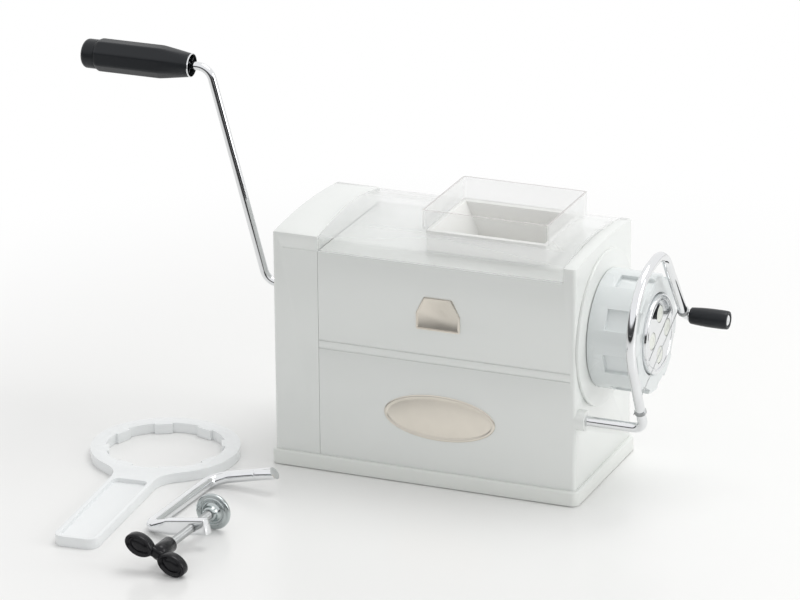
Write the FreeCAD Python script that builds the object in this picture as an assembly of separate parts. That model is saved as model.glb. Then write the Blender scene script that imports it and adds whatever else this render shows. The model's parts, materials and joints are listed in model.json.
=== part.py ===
import FreeCAD, Part
import math
import os

# Hand cranked pasta extruder with its ring wrench and table clamp, in millimetres.
# Origin on the floor under the centre of the machine, +X towards the ring nut,
# +Y to the back, +Z up. The crank is on the -X end.

V = FreeCAD.Vector
os.makedirs("parts", exist_ok=True)

# Casing
body_length = 261.0
body_depth = 132.0
wall = 3.0
corner_radius = 3.0
cover_edge = 1.2
side_height = 201.5
crown_rise = 4.0
gear_cover_length = 39.2
seam_gap = 0.3
bulkhead = 3.0
lid_seat_drop = 12.3
deck_thickness = 3.0
deck_ledge = 0.9
end_rim_width = 10.0
post_size = 10.0
post_nut_gap = 7.0

# Double groove round the front and the back, and the fine line near the top of the cover
groove_heights = (113.0, 106.1)
groove_width = 1.3
groove_depth = 0.8
groove_end_margin = 4.2
step_line_drop = 12.5
step_line_inset = 8.6
step_line_width = 0.8
step_line_depth = 0.4

# Base tray and its pads
base_height = 13.0
base_margin = 3.3
base_floor = 2.4
base_land = 0.4
base_bevel = 1.2
base_ribs = 5
rib_thickness = 2.0
rib_drop = 2.0
foot_length = 22.0
foot_width = 14.0
foot_thickness = 2.6
foot_proud = 0.8
foot_inset = 6.0

# Lid and hopper collar, one clear moulding
lid_wall = 2.5
lid_edge_drop = 0.5
lid_crown_rise = 7.5
lid_gap = 0.3
lid_edge_radius = 1.6
collar_length = 108.7
collar_width = 91.5
collar_setback = 34.95
collar_offset = 11.2
collar_rise = 14.9
collar_wall = 2.0
collar_radius = 3.0

# Feed funnel under the collar
funnel_gap = 0.5
funnel_rim_drop = 17.9
funnel_plate = 2.5
funnel_wall = 2.0
funnel_radius = 1.5
well_front_margin = 4.6
well_left_margin = 3.0
well_right_margin = 3.2
left_slope_run = 11.0
left_slope_drop = 24.0
chute_lip_rise = 15.8
chute_lip_inset = 0.5
roller_wrap_deg = 31.0

# Auger and barrel
auger_height = 131.1
auger_radius = 19.0
auger_core_radius = 7.5
auger_pitch = 38.0
auger_steps = 12
flight_root_depth = 1.0
flight_root_width = 7.0
flight_tip_width = 2.8
nose_length = 9.0
nose_radius = 2.0
nose_gap = 3.0
barrel_clearance = 0.4
barrel_wall = 4.6
barrel_seat_gap = 0.3
flange_margin = 1.5
flange_thickness = 2.4
barrel_head_length = 30.4
mouth_radius = 30.0
mouth_length = 12.0
window_front_rise = 15.6
window_back_rise = 7.8

# Gears and feed roller beside the auger
gear_module = 2.2
crank_gear_teeth = 21
roller_gear_teeth = 14
addendum = 0.8
dedendum = 1.1
gear_width = 12.0
gear_backlash = 0.3
pressure_angle_deg = 20.0
roller_lean_deg = 40.0
roller_auger_gap = 3.0
roller_ribs = 12
roller_rib_depth = 2.6
roller_rib_share = 0.7
roller_rib_slope = 0.3
roller_shaft_radius = 4.0
roller_running_gap = 0.9
roller_side_gap = 1.0
roller_shaft_tail = 2.5

# Crank
shaft_radius = 8.0
shaft_hub_radius = 11.5
shaft_hub_length = 10.0
shaft_end_gap = 0.3
tang_width = 8.0
tang_length = 14.0
tang_end_gap = 0.5
auger_end_gap = 4.0
running_fit = 0.05
shaft_boss_wall = 6.0
cover_boss_proud = 1.5
cover_boss_inside = 6.0
bulkhead_boss_length = 5.0
gear_side_gap = 0.5
crank_rod_radius = 3.5
crank_stub_depth = 22.0
crank_reach = 179.9
crank_foot_offset = 35.0
crank_top_offset = 83.5
crank_bend_radius = 13.0
grip_offset = 98.8
grip_length = 97.3
grip_sides = 8
grip_neck_radius = 9.8
grip_body_radius = 14.0
grip_shoulder = 1.5
grip_shoulder_drop = 1.0
grip_cone_length = 26.0
grip_hollow_depth = 9.0
grip_hollow_wall = 1.8
grip_cap_length = 13.0
grip_cap_radius = 12.2
grip_cap_face_radius = 8.0
grip_cap_rise = 3.4
grip_cap_shoulder_radius = 11.4
grip_rod_gap = 1.0
round_sides = 18
cap_sides = 24

# Ring nut, die and cores
nut_wall_gap = 0.6
nut_base_radius = 48.8
nut_thread_wall = 8.7
nut_lip_thickness = 4.3
nut_lip_gap = 0.6
nut_pockets = 8
pocket_start = 14.1
pocket_depth = 4.0
pocket_width = 17.0
pocket_phase_deg = -16.0
thread_clearance = 0.1
die_inset = 2.0
die_flange = 7.7
die_boss_radius = 32.6
die_boss_length = 7.9
die_gap = 0.3
die_holes = 4
die_hole_circle = 17.5
die_hole_radius = 7.3
core_radius = 5.2
core_setback = 0.4
core_bridge = 3.0
core_back_inset = 0.5

# Cutter bow, its places given from its pivot in Y and Z
cutter_drop = 59.1
nut_travel = 2.0
cutter_wire_gap = 0.3
cutter_rod_radius = 4.0
cutter_boss_radius = 8.5
cutter_boss_length = 7.0
cutter_elbow_radius = 9.0
cutter_journal_margin = 2.0
cutter_thread_radius = 3.0
bow_left_offset = (-58.7, 124.7)
bow_left_radius = 52.7
bow_top_offset = (41.4, 136.7)
bow_top_radius = 31.8
bow_end_offset = (95.2, 63.9)
bow_end_radius = 4.6
wire_radius = 0.4
wire_start_rise = 19.5
wire_end_drop = 1.0
cutter_neck = 5.0
cutter_pin_radius = 2.6
cutter_grip_length = 32.5
cutter_grip_radius = 7.75
cutter_grip_neck = 5.6
cutter_grip_gap = 0.3
cutter_grip_recess = 2.2
pin_head_radius = 4.6
pin_head_length = 1.6
pin_head_gap = 0.3
lock_nut_wall_gap = 0.3
lock_nut_thickness = 4.0
lock_nut_gap = 0.3

# Clamp hole low in the back wall
clamp_hole_x = 20.0
clamp_hole_height = 30.0
clamp_hole_radius = 5.15
clamp_hole_depth = 24.0
clamp_hole_wall = 3.5
clamp_hole_floor = 2.0

# Table clamp, lying on its spine beside the machine
clamp_rod_radius = 5.0
clamp_corner = (-165.5, -237.1)
clamp_heading_deg = 86.7
clamp_spine_length = 110.3
clamp_tip_length = 58.4
clamp_tip_lean_deg = 1.6
clamp_arm_length = 60.0
clamp_arm_start = 14.0
clamp_arm_lean_deg = 10.0
clamp_arm_flat = 7.0
clamp_arm_height = 13.0
clamp_arm_edge = 2.0
clamp_bend_radius = 12.0
clamp_corner_radius = 9.0
floor_gap = 0.1
screw_offset = 45.0
screw_radius = 3.5
screw_tip_radius = 3.0
screw_fit = 0.08
screw_tip_depth = 1.0
pad_reach = 24.0
pad_radius = 15.0
pad_thickness = 3.6
pad_sides = 28
pad_floor_gap = 0.35
pad_hub_radius = 6.0
pad_hub_length = 6.0
pad_neck_gap = 0.4
pad_socket_depth = 1.5
wing_reach = 47.0
wing_hub_radius = 6.6
wing_hub_length = 27.0
wing_hub_taper = 3.0
wing_hub_skin = 7.0
wing_lobe_offset = 15.2
wing_lobe_length = 25.0
wing_lobe_width = 17.0
wing_lobe_depth = 9.0
wing_lobe_round = 1.4
wing_lobe_sides = 16
wing_dish_margin = 3.2
wing_dish_depth = 1.0
wing_web_width = 7.2
wing_turn_deg = 36.0

# Ring wrench, lying beside the clamp
wrench_x = -222.5
wrench_y = -84.0
wrench_clearance = 0.8
wrench_ring_width = 12.4
wrench_tab_width = 15.0
wrench_thickness = 8.6
wrench_handle_reach = 205.0
wrench_handle_width = 37.0
wrench_handle_deg = -85.8
wrench_handle_corner = 9.0
wrench_neck_radius = 26.0
wrench_rim = 3.6
wrench_recess = 3.6
wrench_recess_gap = 16.0

# How a bent bar is faceted, and how far a cutting shape runs past what it cuts
bend_step_deg = 22.5
bar_sides = 16
over = 1.0

# Places that follow from the sizes above
right_x = body_length / 2
left_x = -body_length / 2
half_depth = body_depth / 2
seam_x = left_x + gear_cover_length
shell_x = seam_x + seam_gap / 2
rim_x = right_x - end_rim_width
seat_z = side_height - lid_seat_drop
deck_z = seat_z - deck_thickness
lid_edge_z = side_height - lid_edge_drop
lid_crown_z = side_height + lid_crown_rise
collar_top_z = lid_crown_z + collar_rise
collar_x = right_x - collar_setback - collar_length / 2
rim_z = collar_top_z - funnel_rim_drop
barrel_bore = auger_radius + barrel_clearance
barrel_radius = barrel_bore + barrel_wall
flange_radius = half_depth - flange_margin
flange_x = right_x + flange_thickness
head_radius = nut_base_radius - nut_thread_wall - thread_clearance
die_radius = head_radius - die_inset
die_back_x = flange_x + barrel_head_length
die_shoulder_x = die_back_x + die_flange
die_face_x = die_shoulder_x + die_boss_length
nut_start_x = flange_x + nut_wall_gap
nut_lip_x = die_shoulder_x + die_gap
nut_front_x = nut_lip_x + nut_lip_thickness
auger_start_x = shell_x + bulkhead + auger_end_gap
gear_distance = gear_module * (crank_gear_teeth + roller_gear_teeth) / 2
roller_y = gear_distance * math.cos(math.radians(roller_lean_deg))
roller_z = auger_height + gear_distance * math.sin(math.radians(roller_lean_deg))
roller_radius = gear_distance - auger_radius - roller_auger_gap
shaft_boss_radius = shaft_radius + shaft_boss_wall
cover_boss_end = left_x + wall + cover_boss_inside
gear_start_x = cover_boss_end + gear_side_gap
gear_end_x = gear_start_x + gear_width
hub_x = left_x - cover_boss_proud - shaft_end_gap
crank_top_z = auger_height + crank_reach
grip_near_x = left_x - grip_offset
grip_far_x = grip_near_x - grip_length
grip_cap_x = grip_far_x + grip_cap_length
cutter_y = cutter_boss_radius - half_depth
cutter_z = auger_height - cutter_drop
cutter_x = die_face_x + nut_travel + cutter_wire_gap + 2 * wire_radius + cutter_rod_radius
lock_nut_reach = cutter_boss_radius - wall - lock_nut_wall_gap
post_top_z = cutter_z - lock_nut_reach - post_nut_gap
pin_start_x = cutter_x + cutter_neck
cutter_grip_x = pin_start_x + cutter_grip_gap
cutter_grip_end_x = cutter_grip_x + cutter_grip_length
pin_end_x = cutter_grip_end_x - cutter_grip_recess + cutter_grip_gap
clamp_tilt_deg = math.degrees(math.asin((pad_radius + pad_floor_gap - clamp_rod_radius) / screw_offset))


def box(x0, x1, y0, y1, z0, z1):
    return Part.makeBox(x1 - x0, y1 - y0, z1 - z0, V(x0, y0, z0))


def cylinder_x(x0, x1, y, z, radius):
    return Part.makeCylinder(radius, x1 - x0, V(x0, y, z), V(1, 0, 0))


def cylinder_z(x, y, z0, z1, radius):
    return Part.makeCylinder(radius, z1 - z0, V(x, y, z0), V(0, 0, 1))


def rounded_box(x0, x1, y0, y1, z0, z1, radius):
    block = box(x0, x1, y0, y1, z0, z1)
    upright = [e for e in block.Edges if abs(e.tangentAt(e.FirstParameter).z) > 0.99]
    return block.makeFillet(radius, upright)


def closed(points):
    return Part.makePolygon(points + [points[0]])


def face_of(points):
    return Part.Face(closed(points))


def profile_along_x(points, x0, x1):
    return face_of([V(x0, y, z) for y, z in points]).extrude(V(x1 - x0, 0, 0))


def profile_along_y(points, y0, y1):
    return face_of([V(x, y0, z) for x, z in points]).extrude(V(0, y1 - y0, 0))


def turned_x(stations, y, z):
    """Solid of revolution about an axis along X, from (x, radius) stations."""
    outline = [V(stations[0][0], y, z)]
    outline += [V(x, y, z + radius) for x, radius in stations]
    outline += [V(stations[-1][0], y, z)]
    return face_of(outline).revolve(V(0, y, z), V(1, 0, 0), 360)


def ring_points(x, y, z, sides, half_width, half_height):
    """Corners of an oval polygon square to X, with a flat uppermost."""
    corners = []
    for i in range(sides):
        a = 2 * math.pi * (i + 0.5) / sides
        corners.append(V(x, y + half_width * math.sin(a), z + half_height * math.cos(a)))
    return corners


def skinned(rings, twisted=False):
    """Solid with flat faces between like rings of points, in triangles where the rings twist."""
    faces = [face_of(rings[0]), face_of(rings[-1])]
    for near, far in zip(rings, rings[1:]):
        for i in range(len(near)):
            j = (i + 1) % len(near)
            if twisted:
                faces.append(face_of([near[i], near[j], far[i]]))
                faces.append(face_of([near[j], far[j], far[i]]))
            else:
                faces.append(face_of([near[i], near[j], far[j], far[i]]))
    shell = Part.makeShell(faces)
    shell.sewShape()
    solid = Part.makeSolid(shell)
    if solid.Volume < 0:
        solid.reverse()
    return solid


def sided_x(stations, y, z, sides):
    """Many sided turning about an axis along X, from (x, radius) stations."""
    return skinned([ring_points(x, y, z, sides, radius, radius) for x, radius in stations])


def sided_bore(x0, x1, y, z, radius):
    """Cutting shape of a many sided bore whose flats lie at the radius."""
    corner = radius / math.cos(math.pi / round_sides)
    return sided_x([(x0, corner), (x1, corner)], y, z, round_sides)


def crowned_prism(x0, x1, half_width, bottom, edge_z, crown_z):
    """Upright prism along X whose top is one shallow arc."""
    a, b = V(x0, -half_width, bottom), V(x0, half_width, bottom)
    c, d = V(x0, half_width, edge_z), V(x0, -half_width, edge_z)
    top = Part.Arc(c, V(x0, 0, crown_z), d).toShape()
    sides = [Part.makeLine(a, b), Part.makeLine(b, c), top, Part.makeLine(d, a)]
    return Part.Face(Part.Wire(sides)).extrude(V(x1 - x0, 0, 0))


def bent_rod(corners, bends, radius):
    """Many sided bar through the corners, each corner rounded by its bend radius."""
    along = (corners[1] - corners[0]).normalize()
    across = (bend_axis(corners[0:3]) if bends else along.cross(V(0, 0, 1))).normalize()
    up = along.cross(across)
    turns = [2 * math.pi * (i + 0.5) / bar_sides for i in range(bar_sides)]
    ring = [corners[0] + across * (radius * math.cos(a)) + up * (radius * math.sin(a)) for a in turns]
    rings = [ring]
    here = corners[0]
    for i, bend in enumerate(bends, start=1):
        before, corner, after = corners[i - 1], corners[i], corners[i + 1]
        back = (before - corner).normalize()
        ahead = (after - corner).normalize()
        half = back.getAngle(ahead) / 2
        enter = corner + back * (bend / math.tan(half))
        centre = corner + (back + ahead).normalize() * (bend / math.sin(half))
        turn = 180 - 2 * math.degrees(half)
        steps = math.ceil(turn / bend_step_deg)
        ring = [p + enter - here for p in ring]
        rings.append(ring)
        for step in range(1, steps + 1):
            spin = FreeCAD.Rotation(bend_axis([before, corner, after]), turn * step / steps)
            rings.append([centre + spin.multVec(p - centre) for p in ring])
        ring = rings[-1]
        here = corner + ahead * (bend / math.tan(half))
    rings.append([p + corners[-1] - here for p in ring])
    return skinned(rings)


def bend_axis(corners):
    """Axis about which a bar turns as it goes round the middle one of three corners."""
    before, corner, after = corners
    return (corner - before).cross(after - corner)


def one_solid(shape):
    """The shape with its split faces joined, as a single solid."""
    clean = shape.removeSplitter()
    return clean.Solids[0] if len(clean.Solids) == 1 else clean


def save(name, *solids):
    shape = solids[0] if len(solids) == 1 else Part.makeCompound(list(solids))
    shape.exportStep(f"parts/{name}.step")


# Base tray with ribs and the recesses of its pads

def make_base():
    half_x, half_y = right_x + base_margin, half_depth + base_margin
    tray = rounded_box(-half_x, half_x, -half_y, half_y, foot_proud, base_height,
                       corner_radius + base_margin)
    rim = [e for e in tray.Edges if e.BoundBox.ZMin > base_height - 0.01]
    tray = tray.makeChamfer(base_bevel, rim)
    inner_x, inner_y = right_x - wall - base_land, half_depth - wall - base_land
    floor_z = foot_proud + base_floor
    tray = tray.cut(box(-inner_x, inner_x, -inner_y, inner_y, floor_z, base_height + over))
    for i in range(base_ribs):
        x = -inner_x + 2 * inner_x * (i + 1) / (base_ribs + 1)
        tray = tray.fuse(box(x - rib_thickness / 2, x + rib_thickness / 2, -inner_y, inner_y,
                             floor_z, base_height - rib_drop))
    for foot in make_feet():
        tray = tray.cut(foot)
    return one_solid(tray)


def make_feet():
    x, y = right_x - foot_inset - foot_length / 2, half_depth - foot_inset - foot_width / 2
    feet = []
    for cx, cy in [(-x, -y), (x, -y), (x, y), (-x, y)]:
        feet.append(box(cx - foot_length / 2, cx + foot_length / 2, cy - foot_width / 2,
                        cy + foot_width / 2, 0, foot_thickness))
    return feet


# Main casing: walls, deck, bulkhead, corner posts and the boss of the cutter

def make_housing():
    shell = crowned_prism(shell_x, right_x, half_depth, base_height, side_height, side_height + crown_rise)
    upright = [e for e in shell.Edges if e.BoundBox.XMin > right_x - 0.01 and e.BoundBox.YLength < 0.01]
    shell = shell.makeFillet(corner_radius, upright)
    shell = shell.cut(box(shell_x - over, rim_x, -body_depth, body_depth, seat_z, lid_crown_z))
    inner_y = half_depth - wall
    shell = shell.cut(box(shell_x + bulkhead, right_x - wall, -inner_y, inner_y, base_height - over, deck_z))
    for height in groove_heights:
        for side in (-1, 1):
            y = side * half_depth
            shell = shell.cut(box(shell_x - over, right_x - groove_end_margin, y - groove_depth,
                                  y + groove_depth, height - groove_width / 2, height + groove_width / 2))
    near, far = shell_x + bulkhead, right_x - wall
    for x0, x1 in ((near, near + post_size), (far - post_size, far)):
        for y0, y1 in ((-inner_y, post_size - inner_y), (inner_y - post_size, inner_y)):
            shell = shell.fuse(box(x0, x1, y0, y1, base_height, post_top_z))
    shell = shell.cut(deck_opening())
    shell = shell.cut(cylinder_x(right_x - wall - over, right_x + over, 0, auger_height,
                                 barrel_radius + barrel_seat_gap))
    boss_x = shell_x - bulkhead_boss_length
    shell = shell.fuse(sided_x([(boss_x, shaft_boss_radius), (shell_x, shaft_boss_radius)],
                               0, auger_height, round_sides))
    shell = shell.cut(cylinder_x(boss_x - over, shell_x + bulkhead + over, 0, auger_height,
                                 shaft_radius + running_fit))
    shell = shell.cut(sided_bore(shell_x - over, shell_x + bulkhead + over, roller_y, roller_z,
                                 roller_shaft_radius + running_fit))
    boss_end = right_x + cutter_boss_length
    shell = shell.fuse(cylinder_x(right_x - wall, boss_end, cutter_y, cutter_z, cutter_boss_radius))
    shell = shell.cut(cylinder_x(right_x - wall - over, boss_end + over, cutter_y, cutter_z,
                                 cutter_rod_radius + running_fit))
    half = clamp_hole_radius + clamp_hole_wall
    start = V(clamp_hole_x, half_depth - clamp_hole_depth, clamp_hole_height)
    shell = shell.fuse(box(start.x - half, start.x + half, start.y - clamp_hole_floor, half_depth - wall / 2,
                           start.z - half, start.z + half))
    return one_solid(shell.cut(Part.makeCylinder(clamp_hole_radius, clamp_hole_depth + over, start, V(0, 1, 0))))


def deck_opening():
    x0, x1, y0, y1 = funnel_outline()
    return box(x0 + deck_ledge, x1 - deck_ledge, y0 + deck_ledge, y1 - deck_ledge, deck_z - over, seat_z + over)


# End cover over the gears, with the boss of the crank shaft

def make_gear_cover():
    x1 = seam_x - seam_gap / 2
    cover = crowned_prism(left_x, x1, half_depth, base_height, side_height, side_height + crown_rise)
    outer = [e for e in cover.Edges if e.BoundBox.XMax < left_x + 0.01 and e.BoundBox.ZMax > base_height + over]
    cover = cover.makeChamfer(cover_edge, outer)
    cover = cover.cut(crowned_prism(left_x + wall, x1 + over, half_depth - wall, base_height - over,
                                    side_height - wall, side_height + crown_rise - wall))
    cover = cover.fuse(crowned_prism(x1 - wall, x1, half_depth - wall / 2, seat_z, side_height - wall / 2,
                                     side_height + crown_rise - wall / 2))
    line_z = side_height - step_line_drop
    for side in (-1, 1):
        y = side * half_depth
        cover = cover.cut(box(left_x + step_line_inset, x1 + over, y - step_line_depth, y + step_line_depth,
                              line_z - step_line_width / 2, line_z + step_line_width / 2))
    boss_start = left_x - cover_boss_proud
    cover = cover.fuse(cylinder_x(boss_start, cover_boss_end, 0, auger_height, shaft_boss_radius))
    return one_solid(cover.cut(cylinder_x(boss_start - over, cover_boss_end + over, 0, auger_height,
                                          shaft_radius + running_fit)))


# Clear lid with the hopper collar

def make_lid():
    x0, x1 = seam_x + lid_gap, rim_x - lid_gap
    skirt_z = seat_z + lid_gap
    lid = crowned_prism(x0, x1, half_depth, skirt_z, lid_edge_z, lid_crown_z)
    long_edges = [e for e in lid.Edges
                  if e.BoundBox.YLength < 0.01 and abs(e.BoundBox.ZMin - lid_edge_z) < 0.01]
    lid = lid.makeFillet(lid_edge_radius, long_edges)
    lid = lid.cut(crowned_prism(x0 - over, x1 + over, half_depth - lid_wall, skirt_z - over,
                                lid_edge_z - lid_wall, lid_crown_z - lid_wall))
    hx, hy = collar_length / 2, collar_width / 2
    collar = rounded_box(collar_x - hx, collar_x + hx, collar_offset - hy, collar_offset + hy,
                         lid_edge_z, collar_top_z, collar_radius)
    below = crowned_prism(x0, x1, half_depth, 0, lid_edge_z - lid_wall, lid_crown_z - lid_wall)
    lid = lid.fuse(collar.cut(below))
    hx, hy = hx - collar_wall, hy - collar_wall
    opening = rounded_box(collar_x - hx, collar_x + hx, collar_offset - hy, collar_offset + hy,
                          seat_z, collar_top_z + over, collar_radius - collar_wall / 2)
    return one_solid(lid.cut(opening))


# Feed funnel: rim plate, skirt to the deck and a chute that wraps the roller

def funnel_outline():
    hx = collar_length / 2 - collar_wall - funnel_gap
    hy = collar_width / 2 - collar_wall - funnel_gap
    return collar_x - hx, collar_x + hx, collar_offset - hy, collar_offset + hy


def chute_section(x, grow):
    """Cross section of the chute in Y and Z: its inner surface, moved outwards by grow."""
    top = rim_z + over
    front = funnel_outline()[2] + well_front_margin - grow
    arc_radius = roller_radius + roller_running_gap + grow
    lip = V(x, chute_lip_inset - barrel_bore - grow, auger_height + chute_lip_rise)
    points = [V(x, roller_y + arc_radius, top), V(x, front, top), lip, V(x, 0, auger_height)]

    def on_roller(deg):
        a = math.radians(deg)
        return V(x, roller_y + arc_radius * math.cos(a), roller_z + arc_radius * math.sin(a))

    wrap_end = roller_lean_deg + 180 + roller_wrap_deg
    edges = [Part.makeLine(a, b) for a, b in zip(points, points[1:])]
    edges.append(Part.makeLine(points[-1], on_roller(wrap_end)))
    edges.append(Part.Arc(on_roller(wrap_end), on_roller((wrap_end + 360) / 2), on_roller(360)).toShape())
    edges.append(Part.makeLine(on_roller(360), points[0]))
    return Part.Face(Part.Wire(edges))


def chute_side(grow):
    """Outline of the chute in X and Z, with the slope down from its left end."""
    x0, x1, y0, y1 = funnel_outline()
    left, right = x0 + well_left_margin - grow, x1 - well_right_margin + grow
    low_left = left + left_slope_run
    bottom = auger_height - barrel_radius
    return [(left, rim_z + over), (low_left, rim_z - left_slope_drop), (low_left, bottom),
            (right, bottom), (right, rim_z + over)]


def make_chute(grow):
    x0, x1, y0, y1 = funnel_outline()
    along = chute_section(x0, grow).extrude(V(x1 - x0, 0, 0))
    return along.common(profile_along_y(chute_side(grow), -body_depth, body_depth))


def make_funnel():
    x0, x1, y0, y1 = funnel_outline()
    rim = rounded_box(x0, x1, y0, y1, seat_z, rim_z, funnel_radius)
    rim = rim.cut(box(x0 + funnel_wall, x1 - funnel_wall, y0 + funnel_wall, y1 - funnel_wall,
                      seat_z - over, rim_z - funnel_plate))
    outer = make_chute(funnel_wall).common(box(x0, x1, -body_depth, body_depth, 0, rim_z))
    funnel = rim.fuse(outer).cut(make_chute(0))
    funnel = funnel.cut(cylinder_x(x0, x1, 0, auger_height, barrel_radius + barrel_seat_gap))
    return one_solid(funnel.cut(sided_bore(x0, x1, roller_y, roller_z, roller_shaft_radius + running_fit)))


def well_span():
    side = chute_side(0)
    return side[1][0], side[3][0]


# Barrel with its wall flange, threaded head, flared mouth and feed window

def make_barrel():
    barrel = turned_x([(shell_x + bulkhead, barrel_radius), (right_x, barrel_radius), (right_x, flange_radius),
                       (flange_x, flange_radius), (flange_x, head_radius), (die_back_x, head_radius)],
                      0, auger_height)
    barrel = barrel.cut(cylinder_x(shell_x, die_back_x + over, 0, auger_height, barrel_bore))
    barrel = barrel.cut(cylinder_x(die_back_x - mouth_length, die_back_x + over, 0, auger_height, mouth_radius))
    x0, x1 = well_span()
    top = auger_height + barrel_radius + over
    barrel = barrel.cut(box(x0, x1, chute_lip_inset - barrel_bore, barrel_radius + over,
                            auger_height + window_front_rise, top))
    return one_solid(barrel.cut(box(x0, x1, 0, barrel_radius + over, auger_height + window_back_rise, top)))


# Auger: a helical flight, thinner at its tip, round a core with a nose

def make_flight(x0, x1):
    steps = round((x1 - x0) / auger_pitch * auger_steps)
    root = auger_core_radius - flight_root_depth
    outline = [(root, -flight_root_width / 2), (auger_radius, -flight_tip_width / 2),
               (auger_radius, flight_tip_width / 2), (root, flight_root_width / 2)]
    sections = []
    for step in range(steps + 1):
        a = 2 * math.pi * step / auger_steps
        x = x0 + (x1 - x0) * step / steps
        sections.append([V(x + shift, r * math.cos(a), r * math.sin(a)) for r, shift in outline])
    return skinned(sections, twisted=True)


def make_auger():
    end_x = die_back_x - nose_gap - nose_length
    margin = flight_root_width / 2
    flight = make_flight(auger_start_x + margin, end_x - margin)

    core = sided_x([(auger_start_x, auger_core_radius), (end_x, auger_core_radius),
                    (end_x + nose_length, nose_radius)], 0, 0, auger_steps)
    half = tang_width / 2 + running_fit
    auger = core.fuse(flight).cut(box(auger_start_x - over, auger_start_x + tang_length + tang_end_gap,
                                      -half, half, -half, half))
    auger.translate(V(0, 0, auger_height))
    return one_solid(auger)


# Crank shaft with the hub of the crank rod and the square tang of the auger

def crank_stub_end():
    return hub_x - shaft_hub_length + crank_stub_depth


def make_shaft():
    hub = sided_x([(hub_x - shaft_hub_length, shaft_hub_radius), (hub_x, shaft_hub_radius)],
                  0, auger_height, round_sides)
    half = tang_width / 2
    tang = box(auger_start_x, auger_start_x + tang_length, -half, half, auger_height - half, auger_height + half)
    shaft = cylinder_x(hub_x, auger_start_x, 0, auger_height, shaft_radius).fuse([hub, tang])
    return one_solid(shaft.cut(sided_bore(hub_x - shaft_hub_length - over, crank_stub_end(), 0, auger_height,
                                          crank_rod_radius)))


# Gears

def involute_angle(radius, base_radius):
    if radius <= base_radius:
        return 0.0
    roll = math.sqrt((radius / base_radius) ** 2 - 1)
    return roll - math.atan(roll)


def spur_gear(teeth, y, z, bore, tooth_angle):
    """Stub toothed gear, one tooth centred on tooth_angle."""
    pitch_radius = gear_module * teeth / 2
    base_radius = pitch_radius * math.cos(math.radians(pressure_angle_deg))
    half_tooth = math.pi / (2 * teeth) - gear_backlash / (2 * pitch_radius)
    half_tooth += involute_angle(pitch_radius, base_radius)
    radii = (pitch_radius - dedendum * gear_module, pitch_radius, pitch_radius + addendum * gear_module)
    flank = [(r, half_tooth - involute_angle(r, base_radius)) for r in radii]
    points = []
    for tooth in range(teeth):
        middle = tooth_angle + 2 * math.pi * tooth / teeth
        side = [(r, middle - offset) for r, offset in flank]
        side += [(r, middle + offset) for r, offset in reversed(flank)]
        points += [(y + r * math.cos(a), z + r * math.sin(a)) for r, a in side]
    gear = profile_along_x(points, gear_start_x, gear_end_x)
    return gear.cut(sided_bore(gear_start_x - over, gear_end_x + over, y, z, bore))


def make_crank_gear():
    return spur_gear(crank_gear_teeth, 0, auger_height, shaft_radius, math.radians(roller_lean_deg))


def make_roller_gear():
    facing = math.radians(roller_lean_deg + 180)
    return spur_gear(roller_gear_teeth, roller_y, roller_z, roller_shaft_radius,
                     facing + math.pi / roller_gear_teeth)


# Ribbed feed roller on its shaft

def make_roller():
    x0, x1 = well_span()
    profile = []
    for rib in range(roller_ribs):
        for turn, depth in ((0, roller_rib_depth), (roller_rib_slope, 0), (1 - roller_rib_slope, 0),
                            (1, roller_rib_depth)):
            a = 2 * math.pi * (rib + turn * roller_rib_share) / roller_ribs
            r = roller_radius - depth
            profile.append((roller_y + r * math.cos(a), roller_z + r * math.sin(a)))
    roller = profile_along_x(profile, x0 + roller_side_gap, x1 - roller_side_gap)
    return one_solid(roller.cut(sided_bore(x0, x1, roller_y, roller_z, roller_shaft_radius)))


def make_roller_shaft():
    end_x = well_span()[1] + funnel_wall + roller_shaft_tail
    return cylinder_x(gear_start_x, end_x, roller_y, roller_z, roller_shaft_radius)


# Crank rod and its grip

def make_crank_arm():
    foot_x, top_x = left_x - crank_foot_offset, left_x - crank_top_offset
    corners = [V(crank_stub_end(), 0, auger_height), V(foot_x, 0, auger_height), V(top_x, 0, crank_top_z),
               V(grip_cap_x + grip_rod_gap, 0, crank_top_z)]
    return bent_rod(corners, [crank_bend_radius, crank_bend_radius], crank_rod_radius)


def make_grip():
    shoulder_x = grip_near_x - grip_cone_length
    grip = sided_x([(grip_cap_x, grip_body_radius - grip_shoulder_drop),
                    (grip_cap_x + grip_shoulder, grip_body_radius), (shoulder_x, grip_body_radius),
                    (grip_near_x, grip_neck_radius)], 0, crank_top_z, grip_sides)
    hollow = sided_x([(grip_near_x - grip_hollow_depth, grip_neck_radius - grip_hollow_wall),
                      (grip_near_x + over, grip_neck_radius - grip_hollow_wall)], 0, crank_top_z, grip_sides)
    bore = cylinder_x(grip_cap_x - over, grip_near_x, 0, crank_top_z, crank_rod_radius + running_fit)
    return one_solid(grip.cut(hollow).cut(bore))


def make_grip_cap():
    return sided_x([(grip_far_x, grip_cap_face_radius), (grip_far_x + grip_cap_rise, grip_cap_shoulder_radius),
                    (grip_far_x + 2 * grip_cap_rise, grip_cap_radius), (grip_cap_x, grip_cap_radius)],
                   0, crank_top_z, cap_sides)


# Ring nut with grip pockets open to the front

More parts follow.
